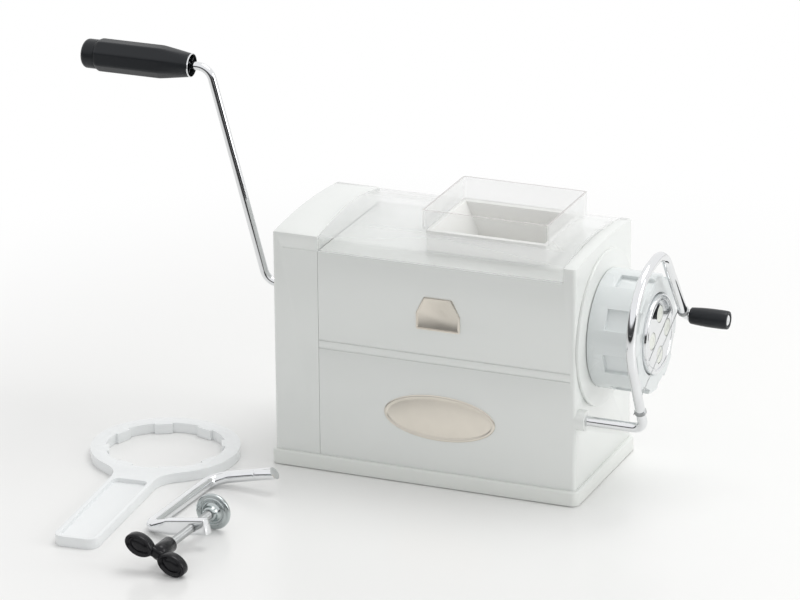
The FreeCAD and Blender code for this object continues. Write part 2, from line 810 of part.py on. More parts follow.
def make_ring_nut():
    nut = cylinder_x(nut_start_x, nut_front_x, 0, auger_height, nut_base_radius)
    nut = nut.cut(turned_x([(nut_start_x - over, head_radius + thread_clearance),
                            (nut_lip_x, head_radius + thread_clearance), (nut_lip_x, die_boss_radius + nut_lip_gap),
                            (nut_front_x + over, die_boss_radius + nut_lip_gap)], 0, auger_height))
    for i in range(nut_pockets):
        pocket = box(nut_start_x + pocket_start, nut_front_x + over, nut_base_radius - pocket_depth,
                     nut_base_radius + over, -pocket_width / 2, pocket_width / 2)
        pocket.rotate(V(0, 0, 0), V(1, 0, 0), 180 - pocket_phase_deg - i * 360 / nut_pockets)
        pocket.translate(V(0, 0, auger_height))
        nut = nut.cut(pocket)
    return one_solid(nut)


# Die and the cores in its holes, each on its bridge

def die_hole_centres():
    turns = [2 * math.pi * i / die_holes for i in range(die_holes)]
    return [(die_hole_circle * math.cos(a), auger_height + die_hole_circle * math.sin(a)) for a in turns]


def make_die():
    die = turned_x([(die_back_x, die_radius), (die_shoulder_x, die_radius), (die_shoulder_x, die_boss_radius),
                    (die_face_x, die_boss_radius)], 0, auger_height)
    for y, z in die_hole_centres():
        die = die.cut(sided_bore(die_back_x - over, die_face_x + over, y, z, die_hole_radius))
    return one_solid(die)


def make_cores():
    cores = []
    back_x = die_back_x + core_back_inset
    bridge_reach = math.sqrt(die_hole_radius ** 2 - (core_bridge / 2) ** 2)
    for y, z in die_hole_centres():
        core = sided_x([(back_x, core_radius), (die_face_x - core_setback, core_radius)], y, z, round_sides)
        bridge = box(back_x, back_x + core_bridge, y - bridge_reach, y + bridge_reach,
                     z - core_bridge / 2, z + core_bridge / 2)
        cores.append(one_solid(core.fuse(bridge)))
    return cores


# Cutter: bow, wire, handle and lock nut

def bow_point(offset):
    return V(cutter_x, cutter_y + offset[0], cutter_z + offset[1])


def wire_ends():
    """Where the wire is tied on the bow."""
    elbow, left = V(cutter_x, cutter_y, cutter_z), bow_point(bow_left_offset)
    top, end = bow_point(bow_top_offset), bow_point(bow_end_offset)
    lower = (left - elbow).normalize()
    upper = (end - top).normalize()
    return elbow + lower * wire_start_rise, end - upper * (wire_end_drop + bow_end_radius)


def make_cutter_rod():
    inner_x = right_x - wall - lock_nut_gap - lock_nut_thickness
    boss_end = right_x + cutter_boss_length
    journal = cylinder_x(right_x - wall, boss_end + cutter_journal_margin, cutter_y, cutter_z, cutter_rod_radius)
    thread = cylinder_x(inner_x, right_x - wall, cutter_y, cutter_z, cutter_thread_radius)
    end = bow_point(bow_end_offset)
    corners = [V(boss_end, cutter_y, cutter_z), V(cutter_x, cutter_y, cutter_z), bow_point(bow_left_offset),
               bow_point(bow_top_offset), end, end + V(cutter_neck, 0, 0)]
    rod = bent_rod(corners, [cutter_elbow_radius, bow_left_radius, bow_top_radius, bow_end_radius],
                   cutter_rod_radius)
    pin = sided_x([(pin_start_x, cutter_pin_radius), (pin_end_x, cutter_pin_radius), (pin_end_x, pin_head_radius),
                   (pin_end_x + pin_head_length, pin_head_radius)], end.y, end.z, round_sides)
    return one_solid(rod.fuse([journal, thread, pin]))


def make_cutter_wire():
    a, b = wire_ends()
    along = (b - a).normalize() * cutter_rod_radius
    start = a - along - V(cutter_rod_radius + wire_radius, 0, 0)
    return Part.makeCylinder(wire_radius, (b - a).Length + 2 * cutter_rod_radius, start, along)


def make_cutter_grip():
    end = bow_point(bow_end_offset)
    x0, x1 = cutter_grip_x, cutter_grip_end_x
    third = cutter_grip_length / 3
    shy = (cutter_grip_radius - cutter_grip_neck) / 3
    grip = sided_x([(x0, cutter_grip_neck), (x0 + third, cutter_grip_radius - shy),
                    (x0 + 2 * third, cutter_grip_radius), (x1, cutter_grip_radius - shy)],
                   end.y, end.z, round_sides)
    grip = grip.cut(sided_bore(x1 - cutter_grip_recess, x1 + over, end.y, end.z, pin_head_radius + pin_head_gap))
    return one_solid(grip.cut(cylinder_x(x0 - over, x1 + over, end.y, end.z, cutter_pin_radius + running_fit)))


def make_lock_nut():
    x1 = right_x - wall - lock_nut_gap
    turns = [math.pi / 2 + math.pi / 3 * i for i in range(6)]
    corners = [(cutter_y + lock_nut_reach * math.cos(a), cutter_z + lock_nut_reach * math.sin(a)) for a in turns]
    nut = profile_along_x(corners, x1 - lock_nut_thickness, x1)
    return nut.cut(sided_bore(x1 - lock_nut_thickness - over, x1 + over, cutter_y, cutter_z, cutter_thread_radius))


# Table clamp, drawn with its spine along X and its throat along Y, then laid on the floor

def place_clamp(shape):
    shape.rotate(V(0, 0, 0), V(1, 0, 0), 180 - clamp_tilt_deg)
    shape.rotate(V(0, 0, 0), V(0, 0, 1), clamp_heading_deg)
    shape.translate(V(clamp_corner[0], clamp_corner[1], clamp_rod_radius + floor_gap))
    return shape


def make_clamp_rod():
    tip_lean = math.radians(clamp_tip_lean_deg)
    arm_lean = math.radians(clamp_arm_lean_deg)
    bend = V(clamp_spine_length, 0, 0)
    tip = bend + V(math.sin(tip_lean), math.cos(tip_lean), 0) * clamp_tip_length
    arm = V(-math.sin(arm_lean), math.cos(arm_lean), 0)
    rod = bent_rod([arm * (clamp_arm_start + over), V(0, 0, 0), bend, tip],
                   [clamp_corner_radius, clamp_bend_radius], clamp_rod_radius)
    flat = box(clamp_arm_start, clamp_arm_length, -clamp_arm_flat / 2, clamp_arm_flat / 2,
               -clamp_arm_height / 2, clamp_arm_height / 2)
    long_edges = [e for e in flat.Edges if abs(e.tangentAt(e.FirstParameter).x) > 0.99]
    flat = flat.makeChamfer(clamp_arm_edge, long_edges)
    flat.rotate(V(0, 0, 0), V(0, 0, 1), 90 + clamp_arm_lean_deg)
    hole = cylinder_x(-clamp_arm_length, clamp_arm_start, screw_offset, 0, screw_radius + screw_fit)
    return one_solid(place_clamp(rod.fuse(flat).cut(hole)))


def make_clamp_pad():
    pad = sided_x([(pad_reach - pad_hub_length, pad_hub_radius), (pad_reach, pad_hub_radius),
                   (pad_reach, pad_radius), (pad_reach + pad_thickness, pad_radius)], screw_offset, 0, pad_sides)
    socket = sided_bore(pad_reach - pad_hub_length - over, pad_reach + pad_socket_depth, screw_offset, 0,
                        screw_tip_radius + screw_fit)
    return one_solid(place_clamp(pad.cut(socket)))


def screw_start_x():
    return -wing_reach - wing_hub_length + wing_hub_skin


def make_clamp_screw():
    neck_x = pad_reach - pad_hub_length - pad_neck_gap
    screw = turned_x([(screw_start_x(), screw_radius), (neck_x, screw_radius), (neck_x, screw_tip_radius),
                      (pad_reach + screw_tip_depth, screw_tip_radius)], screw_offset, 0)
    return place_clamp(screw)


def wing_lobe():
    """One rounded oval lobe, long across Y, dished on its outer face."""
    half_x, half_y, half_z = wing_lobe_depth / 2, wing_lobe_length / 2, wing_lobe_width / 2

    def oval(x, inset):
        share = 1 - inset / half_z
        return ring_points(x, 0, 0, wing_lobe_sides, half_y * share, half_z * share)

    edge = wing_lobe_round
    lobe = skinned([oval(-half_x, edge), oval(edge - half_x, 0), oval(half_x, 0)])
    return lobe.cut(skinned([oval(-half_x - over, wing_dish_margin), oval(wing_dish_depth - half_x, wing_dish_margin)]))


def make_clamp_wing():
    start = -wing_reach - wing_hub_length
    wing = sided_x([(start, wing_hub_radius - wing_hub_taper / 2), (start + wing_hub_taper, wing_hub_radius),
                    (-wing_reach, wing_hub_radius)], screw_offset, 0, round_sides)
    middle = start + wing_lobe_depth / 2
    half_web = wing_web_width / 2
    for side in (-1, 1):
        lobe = wing_lobe()
        lobe.translate(V(middle, side * wing_lobe_offset, 0))
        ends = sorted((0, side * wing_lobe_offset))
        web = box(middle - half_web / 2, middle + half_web, ends[0], ends[1], -half_web, half_web)
        both = lobe.fuse(web)
        both.rotate(V(0, 0, 0), V(1, 0, 0), wing_turn_deg)
        both.translate(V(0, screw_offset, 0))
        wing = wing.fuse(both)
    bore = sided_bore(screw_start_x(), -wing_reach + over, screw_offset, 0, screw_radius)
    return one_solid(place_clamp(wing.cut(bore)))


# Ring wrench with tabs that fit the nut's pockets

def make_wrench():
    t = wrench_thickness
    bore = nut_base_radius + wrench_clearance
    outer = bore + wrench_ring_width
    half = wrench_handle_width / 2
    reach = wrench_handle_reach
    handle = rounded_box(outer - wrench_ring_width, reach, -half, half, 0, t, wrench_handle_corner)
    rim = outer + wrench_neck_radius
    drop = half + wrench_neck_radius
    run = math.sqrt(rim * rim - drop * drop)
    throat = face_of([V(0, -drop, 0), V(run, -drop, 0), V(run, drop, 0), V(0, drop, 0)]).extrude(V(0, 0, t))
    for side in (-1, 1):
        throat = throat.cut(cylinder_z(run, side * drop, -over, t + over, wrench_neck_radius))
    body = one_solid(Part.makeCylinder(outer, t).fuse([handle, throat]))
    body = body.cut(rounded_box(outer + wrench_recess_gap, reach - wrench_rim, wrench_rim - half,
                                half - wrench_rim, t - wrench_recess, t + over,
                                wrench_handle_corner - wrench_rim))
    hole = cylinder_z(0, 0, -over, t + over, bore)
    for i in range(nut_pockets):
        tab = box(bore - pocket_depth + wrench_clearance, bore + over, -wrench_tab_width / 2,
                  wrench_tab_width / 2, -over, t + over)
        tab.rotate(V(0, 0, 0), V(0, 0, 1), 360 / nut_pockets * (i + 0.5))
        hole = hole.cut(tab)
    body = body.cut(hole)
    body.rotate(V(0, 0, 0), V(0, 0, 1), wrench_handle_deg)
    body.translate(V(wrench_x, wrench_y, floor_gap))
    return one_solid(body)


save("base_plate", make_base())
save("rubber_feet", *make_feet())
save("housing_shell", make_housing())
save("gear_cover", make_gear_cover())
save("clear_lid", make_lid())
save("feed_funnel", make_funnel())
save("auger_barrel", make_barrel())
save("auger", make_auger())

save("crank_shaft", make_shaft())
save("crank_gear", make_crank_gear())
save("crank_arm", make_crank_arm())
save("crank_grip", make_grip())
save("grip_cap", make_grip_cap())
save("feed_roller", make_roller())
save("roller_shaft", make_roller_shaft())
save("roller_gear", make_roller_gear())

save("ring_nut", make_ring_nut())
save("die_plate", make_die())
save("die_cores", *make_cores())

save("cutter_rod", make_cutter_rod())
save("cutter_wire", make_cutter_wire())
save("cutter_grip", make_cutter_grip())
save("cutter_nut", make_lock_nut())

save("clamp_rod", make_clamp_rod())
save("clamp_pad", make_clamp_pad())
save("clamp_screw", make_clamp_screw())
save("clamp_wing", make_clamp_wing())
save("ring_wrench", make_wrench())
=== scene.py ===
import json
import math

import bmesh
import bpy
from mathutils import Matrix, Vector


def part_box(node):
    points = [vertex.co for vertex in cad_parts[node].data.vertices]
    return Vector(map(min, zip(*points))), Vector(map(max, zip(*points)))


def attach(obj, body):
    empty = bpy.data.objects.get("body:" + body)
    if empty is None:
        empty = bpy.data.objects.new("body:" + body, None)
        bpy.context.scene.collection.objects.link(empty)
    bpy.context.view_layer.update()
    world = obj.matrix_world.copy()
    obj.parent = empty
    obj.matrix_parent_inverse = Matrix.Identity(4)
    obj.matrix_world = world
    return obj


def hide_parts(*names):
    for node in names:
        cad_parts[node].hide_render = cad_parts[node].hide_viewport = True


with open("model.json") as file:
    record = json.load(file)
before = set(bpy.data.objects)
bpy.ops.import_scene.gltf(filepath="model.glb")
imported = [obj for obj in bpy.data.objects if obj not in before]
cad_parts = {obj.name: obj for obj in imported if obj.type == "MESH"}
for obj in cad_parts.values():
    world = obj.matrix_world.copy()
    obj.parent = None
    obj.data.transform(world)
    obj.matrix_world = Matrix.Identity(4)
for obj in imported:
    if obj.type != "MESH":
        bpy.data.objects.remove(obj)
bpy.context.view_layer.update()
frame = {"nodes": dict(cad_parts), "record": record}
nodes = frame["nodes"]
bodyOf = {node: body for body, members in frame["record"]["behaviour"]["bodies"].items() for node in members}
mm = 0.001
turn = 2 * math.pi
print("frame loaded:", len(nodes), "nodes")


# small tools for meshes
def addPiece(name, verts, faces):
    mesh = bpy.data.meshes.new(name)
    mesh.from_pydata([tuple(v) for v in verts], [], faces)
    piece = bpy.data.objects.new(name, mesh)
    bpy.context.scene.collection.objects.link(piece)
    return piece


def tidyNormals(piece):
    bm = bmesh.new()
    bm.from_mesh(piece.data)
    bmesh.ops.remove_doubles(bm, verts=bm.verts, dist=0.002 * mm)
    bmesh.ops.recalc_face_normals(bm, faces=bm.faces)
    bm.to_mesh(piece.data)
    bm.free()
    return piece


def bake(piece):  # modifiers into the mesh
    solid = bpy.data.meshes.new_from_object(piece.evaluated_get(bpy.context.evaluated_depsgraph_get()))
    piece.modifiers.clear()
    old, piece.data = piece.data, solid
    bpy.data.meshes.remove(old)
    return piece


def bevelled(piece, width, segments=3, angle=30):
    bevel = piece.modifiers.new("edge", "BEVEL")
    bevel.width = width
    bevel.segments = segments
    bevel.limit_method = "ANGLE"
    bevel.angle_limit = math.radians(angle)
    bevel.miter_outer = "MITER_ARC"
    return bake(piece)


def cut(piece, *tools):
    for tool in tools:
        taken = piece.modifiers.new("cut", "BOOLEAN")
        taken.operation = "DIFFERENCE"
        taken.solver = "EXACT"
        taken.object = tool
        bake(piece)
        bpy.data.objects.remove(tool)
    return piece


def smooth(piece, angle=32):
    piece.data.shade_smooth()
    piece.data.set_sharp_from_angle(angle=math.radians(angle))
    return piece


def joined(first, *others):
    bm = bmesh.new()
    for piece in (first, *others):
        bm.from_mesh(piece.data)
    bm.to_mesh(first.data)
    bm.free()
    for piece in others:
        bpy.data.objects.remove(piece)
    return first


def seat(piece, material, body, *stoodFor, slot=None):
    piece.data.materials.clear()
    piece.data.materials.append(material)
    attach(piece, body)
    if stoodFor:
        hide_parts(*stoodFor)
    return piece


def loftRings(name, rings, closed=False):  # rings of points skinned in order, capped unless closed
    sides = len(rings[0])
    verts = [p for ring in rings for p in ring]
    faces = []
    last = len(rings) if closed else len(rings) - 1
    for k in range(last):
        a, b = k * sides, (k + 1) % len(rings) * sides
        for i in range(sides):
            j = (i + 1) % sides
            faces.append((a + i, a + j, b + j, b + i))
    if not closed:
        faces.append(tuple(range(sides - 1, -1, -1)))
        faces.append(tuple(range(last * sides, (last + 1) * sides)))
    return tidyNormals(addPiece(name, verts, faces))


def turned(name, outline, y, z, sides=96, closed=False):  # outline is (x, radius), turned about X
    rings = [[Vector((x, y + r * math.sin(turn * i / sides), z + r * math.cos(turn * i / sides)))
              for i in range(sides)] for x, r in outline]
    return loftRings(name, rings, closed)


def block(name, low, high):
    corners = [(x, y, z) for x in (low[0], high[0]) for y in (low[1], high[1]) for z in (low[2], high[2])]
    faces = [(0, 1, 3, 2), (4, 6, 7, 5), (0, 4, 5, 1), (2, 3, 7, 6), (0, 2, 6, 4), (1, 5, 7, 3)]
    return tidyNormals(addPiece(name, corners, faces))


def arcPoints(cx, cy, r, a0, a1, count):
    angles = [a0 + (a1 - a0) * i / count for i in range(count + 1)]
    return [(cx + r * math.cos(a), cy + r * math.sin(a)) for a in angles]


def plate(name, outline, thickness, hole=None):  # flat outline in x and y, from z 0 upwards
    bm = bmesh.new()
    edges = []
    for loop in [outline] + ([hole] if hole else []):
        verts = [bm.verts.new((x, y, 0)) for x, y in loop]
        edges += [bm.edges.new((verts[i], verts[(i + 1) % len(verts)])) for i in range(len(verts))]
    bmesh.ops.triangle_fill(bm, use_beauty=True, use_dissolve=False, edges=edges)
    made = bmesh.ops.extrude_face_region(bm, geom=bm.faces[:])
    bmesh.ops.translate(bm, verts=[v for v in made["geom"] if isinstance(v, bmesh.types.BMVert)],
                        vec=(0, 0, thickness))
    bmesh.ops.recalc_face_normals(bm, faces=bm.faces)
    bmesh.ops.dissolve_limit(bm, angle_limit=math.radians(0.5), verts=bm.verts, edges=bm.edges)
    piece = addPiece(name, [], [])
    bm.to_mesh(piece.data)
    bm.free()
    return piece


def roundedPath(corners, bends, stepDeg=5):  # corners joined by straight runs and round bends
    path = [Vector(corners[0])]
    for before, corner, after, bend in zip(corners, corners[1:], corners[2:], bends):
        back = (Vector(before) - Vector(corner)).normalized()
        ahead = (Vector(after) - Vector(corner)).normalized()
        half = back.angle(ahead) / 2
        middle = Vector(corner) + (back + ahead).normalized() * (bend / math.sin(half))
        start = Vector(corner) + back * (bend / math.tan(half)) - middle
        axis = back.cross(ahead) * -1
        sweep = math.pi - 2 * half
        steps = max(2, math.ceil(math.degrees(sweep) / stepDeg))
        for step in range(steps + 1):
            path.append(middle + Matrix.Rotation(sweep * step / steps, 3, axis) @ start)
    path.append(Vector(corners[-1]))
    return path


def barAlong(name, path, section, sides=40, across=None):  # section(share) gives half width, half height, squareness
    lengths = [0.0]
    for a, b in zip(path, path[1:]):
        lengths.append(lengths[-1] + (b - a).length)
    tangents = []
    for i in range(len(path)):
        a, b = path[max(0, i - 1)], path[min(len(path) - 1, i + 1)]
        tangents.append((b - a).normalized())
    side = across or tangents[0].orthogonal().normalized()
    rings = []
    for i, point in enumerate(path):
        side = (side - tangents[i] * side.dot(tangents[i])).normalized()
        up = tangents[i].cross(side)
        halfWide, halfHigh, power = section(lengths[i] / lengths[-1])
        ring = []
        for k in range(sides):
            c, s = math.cos(turn * k / sides), math.sin(turn * k / sides)
            reach = (abs(c) ** power + abs(s) ** power) ** (-1 / power)
            ring.append(point + side * (halfWide * reach * c) + up * (halfHigh * reach * s))
        rings.append(ring)
    return loftRings(name, rings)


def roundBar(name, corners, bends, radius):
    return barAlong(name, roundedPath(corners, bends), lambda share: (radius, radius, 2))


def dressed(node, material, edge, angle=30, smoothAngle=32):  # the node's own shape with worked edges
    piece = addPiece(node + "_dressed", [], [])
    bm = bmesh.new()
    bm.from_mesh(nodes[node].data)
    bmesh.ops.remove_doubles(bm, verts=bm.verts, dist=0.002 * mm)
    bmesh.ops.dissolve_limit(bm, angle_limit=math.radians(0.7), verts=bm.verts, edges=bm.edges)
    bmesh.ops.recalc_face_normals(bm, faces=bm.faces)
    bm.to_mesh(piece.data)
    bm.free()
    if edge:
        bevelled(piece, edge, 2, angle)
    return seat(smooth(piece, smoothAngle), material, bodyOf[node], node)


# camera, backdrop and light
view = {"azimuth": 22.556, "elevation": 20.26, "roll": -0.504, "distance": 4.08307, "aimHeight": 0.1,
        "slideRight": -0.04361, "slideUp": 0.03444, "focalPixels": 5000.04, "frameWidth": 800,
        "sensor": 36, "clipEnd": 60}


def placeCamera():
    az, el, roll = (math.radians(view[k]) for k in ("azimuth", "elevation", "roll"))
    back = Vector((math.sin(az) * math.cos(el), -math.cos(az) * math.cos(el), math.sin(el)))
    level = Vector((0, 0, 1)).cross(back).normalized()
    across = level * math.cos(roll) + back.cross(level) * math.sin(roll)
    up = back.cross(across)
    camera = bpy.data.objects.new("photoCamera", bpy.data.cameras.new("photoCamera"))
    bpy.context.scene.collection.objects.link(camera)
    camera.data.sensor_width = view["sensor"]
    camera.data.lens = view["focalPixels"] / view["frameWidth"] * view["sensor"]
    camera.data.clip_end = view["clipEnd"]
    place = Vector((0, 0, view["aimHeight"])) + back * view["distance"]
    place += across * view["slideRight"] + up * view["slideUp"]
    camera.matrix_world = Matrix((across, up, back)).transposed().to_4x4()
    camera.location = place
    bpy.context.scene.camera = camera


studio = {"fill": 0.86, "floorHalf": 9, "floorColour": (0.93, 0.93, 0.92), "floorGloss": 0.22, "floorShine": 0.35,
          "whiteFrom": 0.30, "whiteTo": 0.75, "darkBand": 0.04, "bandMarks": (0.485, 0.50, 0.59, 0.66),
          "bandBlue": 1.02, "sheetEnd": 0.75, "sheetFade": 0.3, "topLamp": 10.5, "topPlace": (0.3, 0.5, 1.9),
          "rightLamp": 9.5, "rightPlace": (1.9, 0.2, 0.9), "lampAim": (0, 0, 0.1), "lampSize": 1.0}


def addNode(tree, kind, inputs=(), **settings):
    node = tree.nodes.new(kind)
    for key, value in settings.items():
        setattr(node, key, value)
    for key, value in dict(inputs).items():
        node.inputs[key].default_value = value
    return node


def newMaterial(name):
    material = bpy.data.materials.new(name)
    material.use_nodes = True
    return material, material.node_tree, material.node_tree.nodes["Principled BSDF"]


def lightWorld():
    world = bpy.data.worlds.new("studio")
    bpy.context.scene.world = world
    world.use_nodes = True
    tree = world.node_tree
    tree.nodes.clear()
    out = addNode(tree, "ShaderNodeOutputWorld")
    path = addNode(tree, "ShaderNodeLightPath")
    soft = addNode(tree, "ShaderNodeBackground", {"Strength": studio["fill"]})
    shown = addNode(tree, "ShaderNodeBackground", {"Strength": 1.0})
    place = addNode(tree, "ShaderNodeTexCoord")
    split = addNode(tree, "ShaderNodeSeparateXYZ")
    ramp = addNode(tree, "ShaderNodeValToRGB")  # a dark band above the table's front edge, for the chrome to show
    marks = ramp.color_ramp.elements
    marks[0].position, marks[1].position = 0.0, 1.0
    marks[0].color = marks[1].color = (1, 1, 1, 1)
    for position, tone in zip(studio["bandMarks"], (1.0, studio["darkBand"], studio["darkBand"] * 2, 1.0)):
        mark = marks.new(position)
        mark.color = (tone, tone, tone * studio["bandBlue"], 1)
    tilt = addNode(tree, "ShaderNodeMath", {1: 0.5, 2: 0.5}, operation="MULTIPLY_ADD")
    front = addNode(tree, "ShaderNodeMath", {1: 0.0}, operation="LESS_THAN")
    band = addNode(tree, "ShaderNodeMix", {"A": (1, 1, 1, 1)}, data_type="RGBA")
    either = addNode(tree, "ShaderNodeMath", operation="MAXIMUM")
    every = addNode(tree, "ShaderNodeMath", operation="MAXIMUM")
    mixed = addNode(tree, "ShaderNodeMixShader")
    pick = addNode(tree, "ShaderNodeMath", operation="MULTIPLY")
    link = tree.links.new
    link(place.outputs["Generated"], split.inputs[0])
    link(split.outputs["Z"], tilt.inputs[0])
    link(tilt.outputs[0], ramp.inputs[0])
    link(split.outputs["Y"], front.inputs[0])
    link(front.outputs[0], pick.inputs[0])
    link(path.outputs["Is Glossy Ray"], pick.inputs[1])
    link(pick.outputs[0], band.inputs["Factor"])
    link(ramp.outputs[0], band.inputs["B"])
    link(band.outputs["Result"], shown.inputs["Color"])
    link(path.outputs["Is Camera Ray"], either.inputs[0])
    link(path.outputs["Is Glossy Ray"], either.inputs[1])
    link(either.outputs[0], every.inputs[0])
    link(path.outputs["Is Transmission Ray"], every.inputs[1])
    link(every.outputs[0], mixed.inputs[0])
    link(soft.outputs[0], mixed.inputs[1])
    link(shown.outputs[0], mixed.inputs[2])
    link(mixed.outputs[0], out.inputs[0])


def areaLamp(name, place, power):
    data = bpy.data.lights.new(name, "AREA")
    data.energy = power
    data.size = studio["lampSize"]
    lamp = bpy.data.objects.new(name, data)
    bpy.context.scene.collection.objects.link(lamp)
    lamp.location = place
    lamp.rotation_euler = (Vector(studio["lampAim"]) - Vector(place)).to_track_quat("-Z", "Y").to_euler()


def layFloor():
    half = studio["floorHalf"]
    floor = addPiece("studioFloor", [(-half, -half, 0), (half, -half, 0), (half, half, 0), (-half, half, 0)],
                     [(0, 1, 2, 3)])
    material, tree, surface = newMaterial("paleFloor")
    surface.inputs["Base Color"].default_value = (*studio["floorColour"], 1)
    surface.inputs["Roughness"].default_value = studio["floorGloss"]
    surface.inputs["Specular IOR Level"].default_value = studio["floorShine"]
    white = addNode(tree, "ShaderNodeEmission", {"Strength": 1.0})
    path = addNode(tree, "ShaderNodeLightPath")
    place = addNode(tree, "ShaderNodeTexCoord")
    far = addNode(tree, "ShaderNodeVectorMath", operation="LENGTH")
    ramp = addNode(tree, "ShaderNodeMapRange", {"From Min": studio["whiteFrom"], "From Max": studio["whiteTo"]},
                   interpolation_type="SMOOTHSTEP")
    both = addNode(tree, "ShaderNodeMath", operation="MULTIPLY")
    mixed = addNode(tree, "ShaderNodeMixShader")
    dark = addNode(tree, "ShaderNodeEmission", {"Color": (*[studio["darkBand"]] * 3, 1), "Strength": 1.0})
    split = addNode(tree, "ShaderNodeSeparateXYZ")
    edge = addNode(tree, "ShaderNodeMapRange",
                   {"From Min": -studio["sheetEnd"], "From Max": -studio["sheetEnd"] - studio["sheetFade"]})
    past = addNode(tree, "ShaderNodeMath", operation="MULTIPLY")
    ended = addNode(tree, "ShaderNodeMixShader")  # gloss sees that the pale sheet ends towards the front
    link = tree.links.new
    link(place.outputs["Object"], split.inputs[0])
    link(split.outputs["Y"], edge.inputs["Value"])
    link(edge.outputs[0], past.inputs[0])
    link(path.outputs["Is Glossy Ray"], past.inputs[1])
    link(place.outputs["Object"], far.inputs[0])
    link(far.outputs["Value"], ramp.inputs["Value"])
    link(ramp.outputs[0], both.inputs[0])
    link(path.outputs["Is Camera Ray"], both.inputs[1])
    link(both.outputs[0], mixed.inputs[0])
    link(surface.outputs[0], mixed.inputs[1])
    link(white.outputs[0], mixed.inputs[2])
    link(past.outputs[0], ended.inputs[0])
    link(mixed.outputs[0], ended.inputs[1])
    link(dark.outputs[0], ended.inputs[2])
    link(ended.outputs[0], tree.nodes["Material Output"].inputs[0])
    floor.data.materials.append(material)


bpy.context.scene.view_settings.view_transform = "Standard"
placeCamera()
lightWorld()
layFloor()
areaLamp("topLamp", studio["topPlace"], studio["topLamp"])
areaLamp("rightLamp", studio["rightPlace"], studio["rightLamp"])
print("studio set up")


# materials
plasticNoise = {"flowScale": 14.0, "flowDetail": 3.0, "grainScale": 1600.0, "grainDetail": 2.0, "grainHeight": 0.0002,
                "roughFrom": 0.85, "roughTo": 1.2, "shine": 0.5, "coatRough": 0.08}
metalNoise = {"cloudScale": 60.0, "cloudDetail": 4.0, "fineDetail": 3.0, "scratchHeight": 0.0001, "darker": 0.93,
              "lighter": 1.05}
finishes = {
    "casing": {"colour": (0.83, 0.85, 0.83), "rough": 0.24, "mottle": 0.02, "grain": 0.03, "coat": 0.3},
    "base": {"colour": (0.81, 0.83, 0.80), "rough": 0.30, "mottle": 0.02, "grain": 0.05, "coat": 0.15},
    "funnel": {"colour": (0.86, 0.86, 0.84), "rough": 0.28, "mottle": 0.02, "grain": 0.03, "coat": 0.2},
    "nut": {"colour": (0.755, 0.79, 0.79), "rough": 0.26, "mottle": 0.02, "grain": 0.03, "coat": 0.3},
    "wrench": {"colour": (0.90, 0.92, 0.925), "rough": 0.22, "mottle": 0.02, "grain": 0.03, "coat": 0.3},
    "nylon": {"colour": (0.80, 0.79, 0.74), "rough": 0.42, "mottle": 0.03, "grain": 0.06, "coat": 0.0},
    "core": {"colour": (0.80, 0.82, 0.76), "rough": 0.34, "mottle": 0.02, "grain": 0.03, "coat": 0.1},
    "blackGrip": {"colour": (0.016, 0.018, 0.021), "rough": 0.36, "mottle": 0.2, "grain": 0.22, "coat": 0.05,
                  "shine": 0.25},
    "blackWing": {"colour": (0.008, 0.008, 0.010), "rough": 0.22, "mottle": 0.2, "grain": 0.08, "coat": 0.12,
                  "shine": 0.2},
    "rubber": {"colour": (0.05, 0.05, 0.05), "rough": 0.75, "mottle": 0.15, "grain": 0.4, "coat": 0.0},
}
metals = {
    "chrome": {"colour": (0.80, 0.81, 0.82), "rough": 0.05, "spread": 0.05, "scratch": 0.02, "fine": 900},
    "steel": {"colour": (0.42, 0.43, 0.43), "rough": 0.28, "spread": 0.12, "scratch": 0.12, "fine": 1500},
    "zinc": {"colour": (0.50, 0.54, 0.54), "rough": 0.12, "spread": 0.12, "scratch": 0.10, "fine": 1200},
    "nickel": {"colour": (0.80, 0.75, 0.67), "rough": 0.26, "spread": 0.10, "scratch": 0.10, "fine": 1400},
}


def mouldedPlastic(name, look):  # a slow change of tone and gloss, and a fine grain
    n = plasticNoise
    material, tree, surface = newMaterial(name)
    place = addNode(tree, "ShaderNodeTexCoord")
    flow = addNode(tree, "ShaderNodeTexNoise", {"Scale": n["flowScale"], "Detail": n["flowDetail"]})
    shade = addNode(tree, "ShaderNodeMix", data_type="RGBA")
    dark = tuple(c * (1 - look["mottle"]) for c in look["colour"])
    light = tuple(min(1, c * (1 + look["mottle"])) for c in look["colour"])
    shade.inputs["A"].default_value = (*dark, 1)
    shade.inputs["B"].default_value = (*light, 1)
    shine = addNode(tree, "ShaderNodeMapRange",
                    {"To Min": look["rough"] * n["roughFrom"], "To Max": look["rough"] * n["roughTo"]})
    grain = addNode(tree, "ShaderNodeTexNoise", {"Scale": n["grainScale"], "Detail": n["grainDetail"]})
    bump = addNode(tree, "ShaderNodeBump", {"Strength": look["grain"], "Distance": n["grainHeight"]})
    link = tree.links.new
    link(place.outputs["Object"], flow.inputs["Vector"])
    link(place.outputs["Object"], grain.inputs["Vector"])
    link(flow.outputs["Fac"], shade.inputs["Factor"])
    link(shade.outputs["Result"], surface.inputs["Base Color"])
    link(flow.outputs["Fac"], shine.inputs["Value"])
    link(shine.outputs[0], surface.inputs["Roughness"])
    link(grain.outputs["Fac"], bump.inputs["Height"])
    link(bump.outputs[0], surface.inputs["Normal"])
    surface.inputs["Specular IOR Level"].default_value = look.get("shine", n["shine"])
    surface.inputs["Coat Weight"].default_value = look["coat"]
    surface.inputs["Coat Roughness"].default_value = n["coatRough"]
    return material


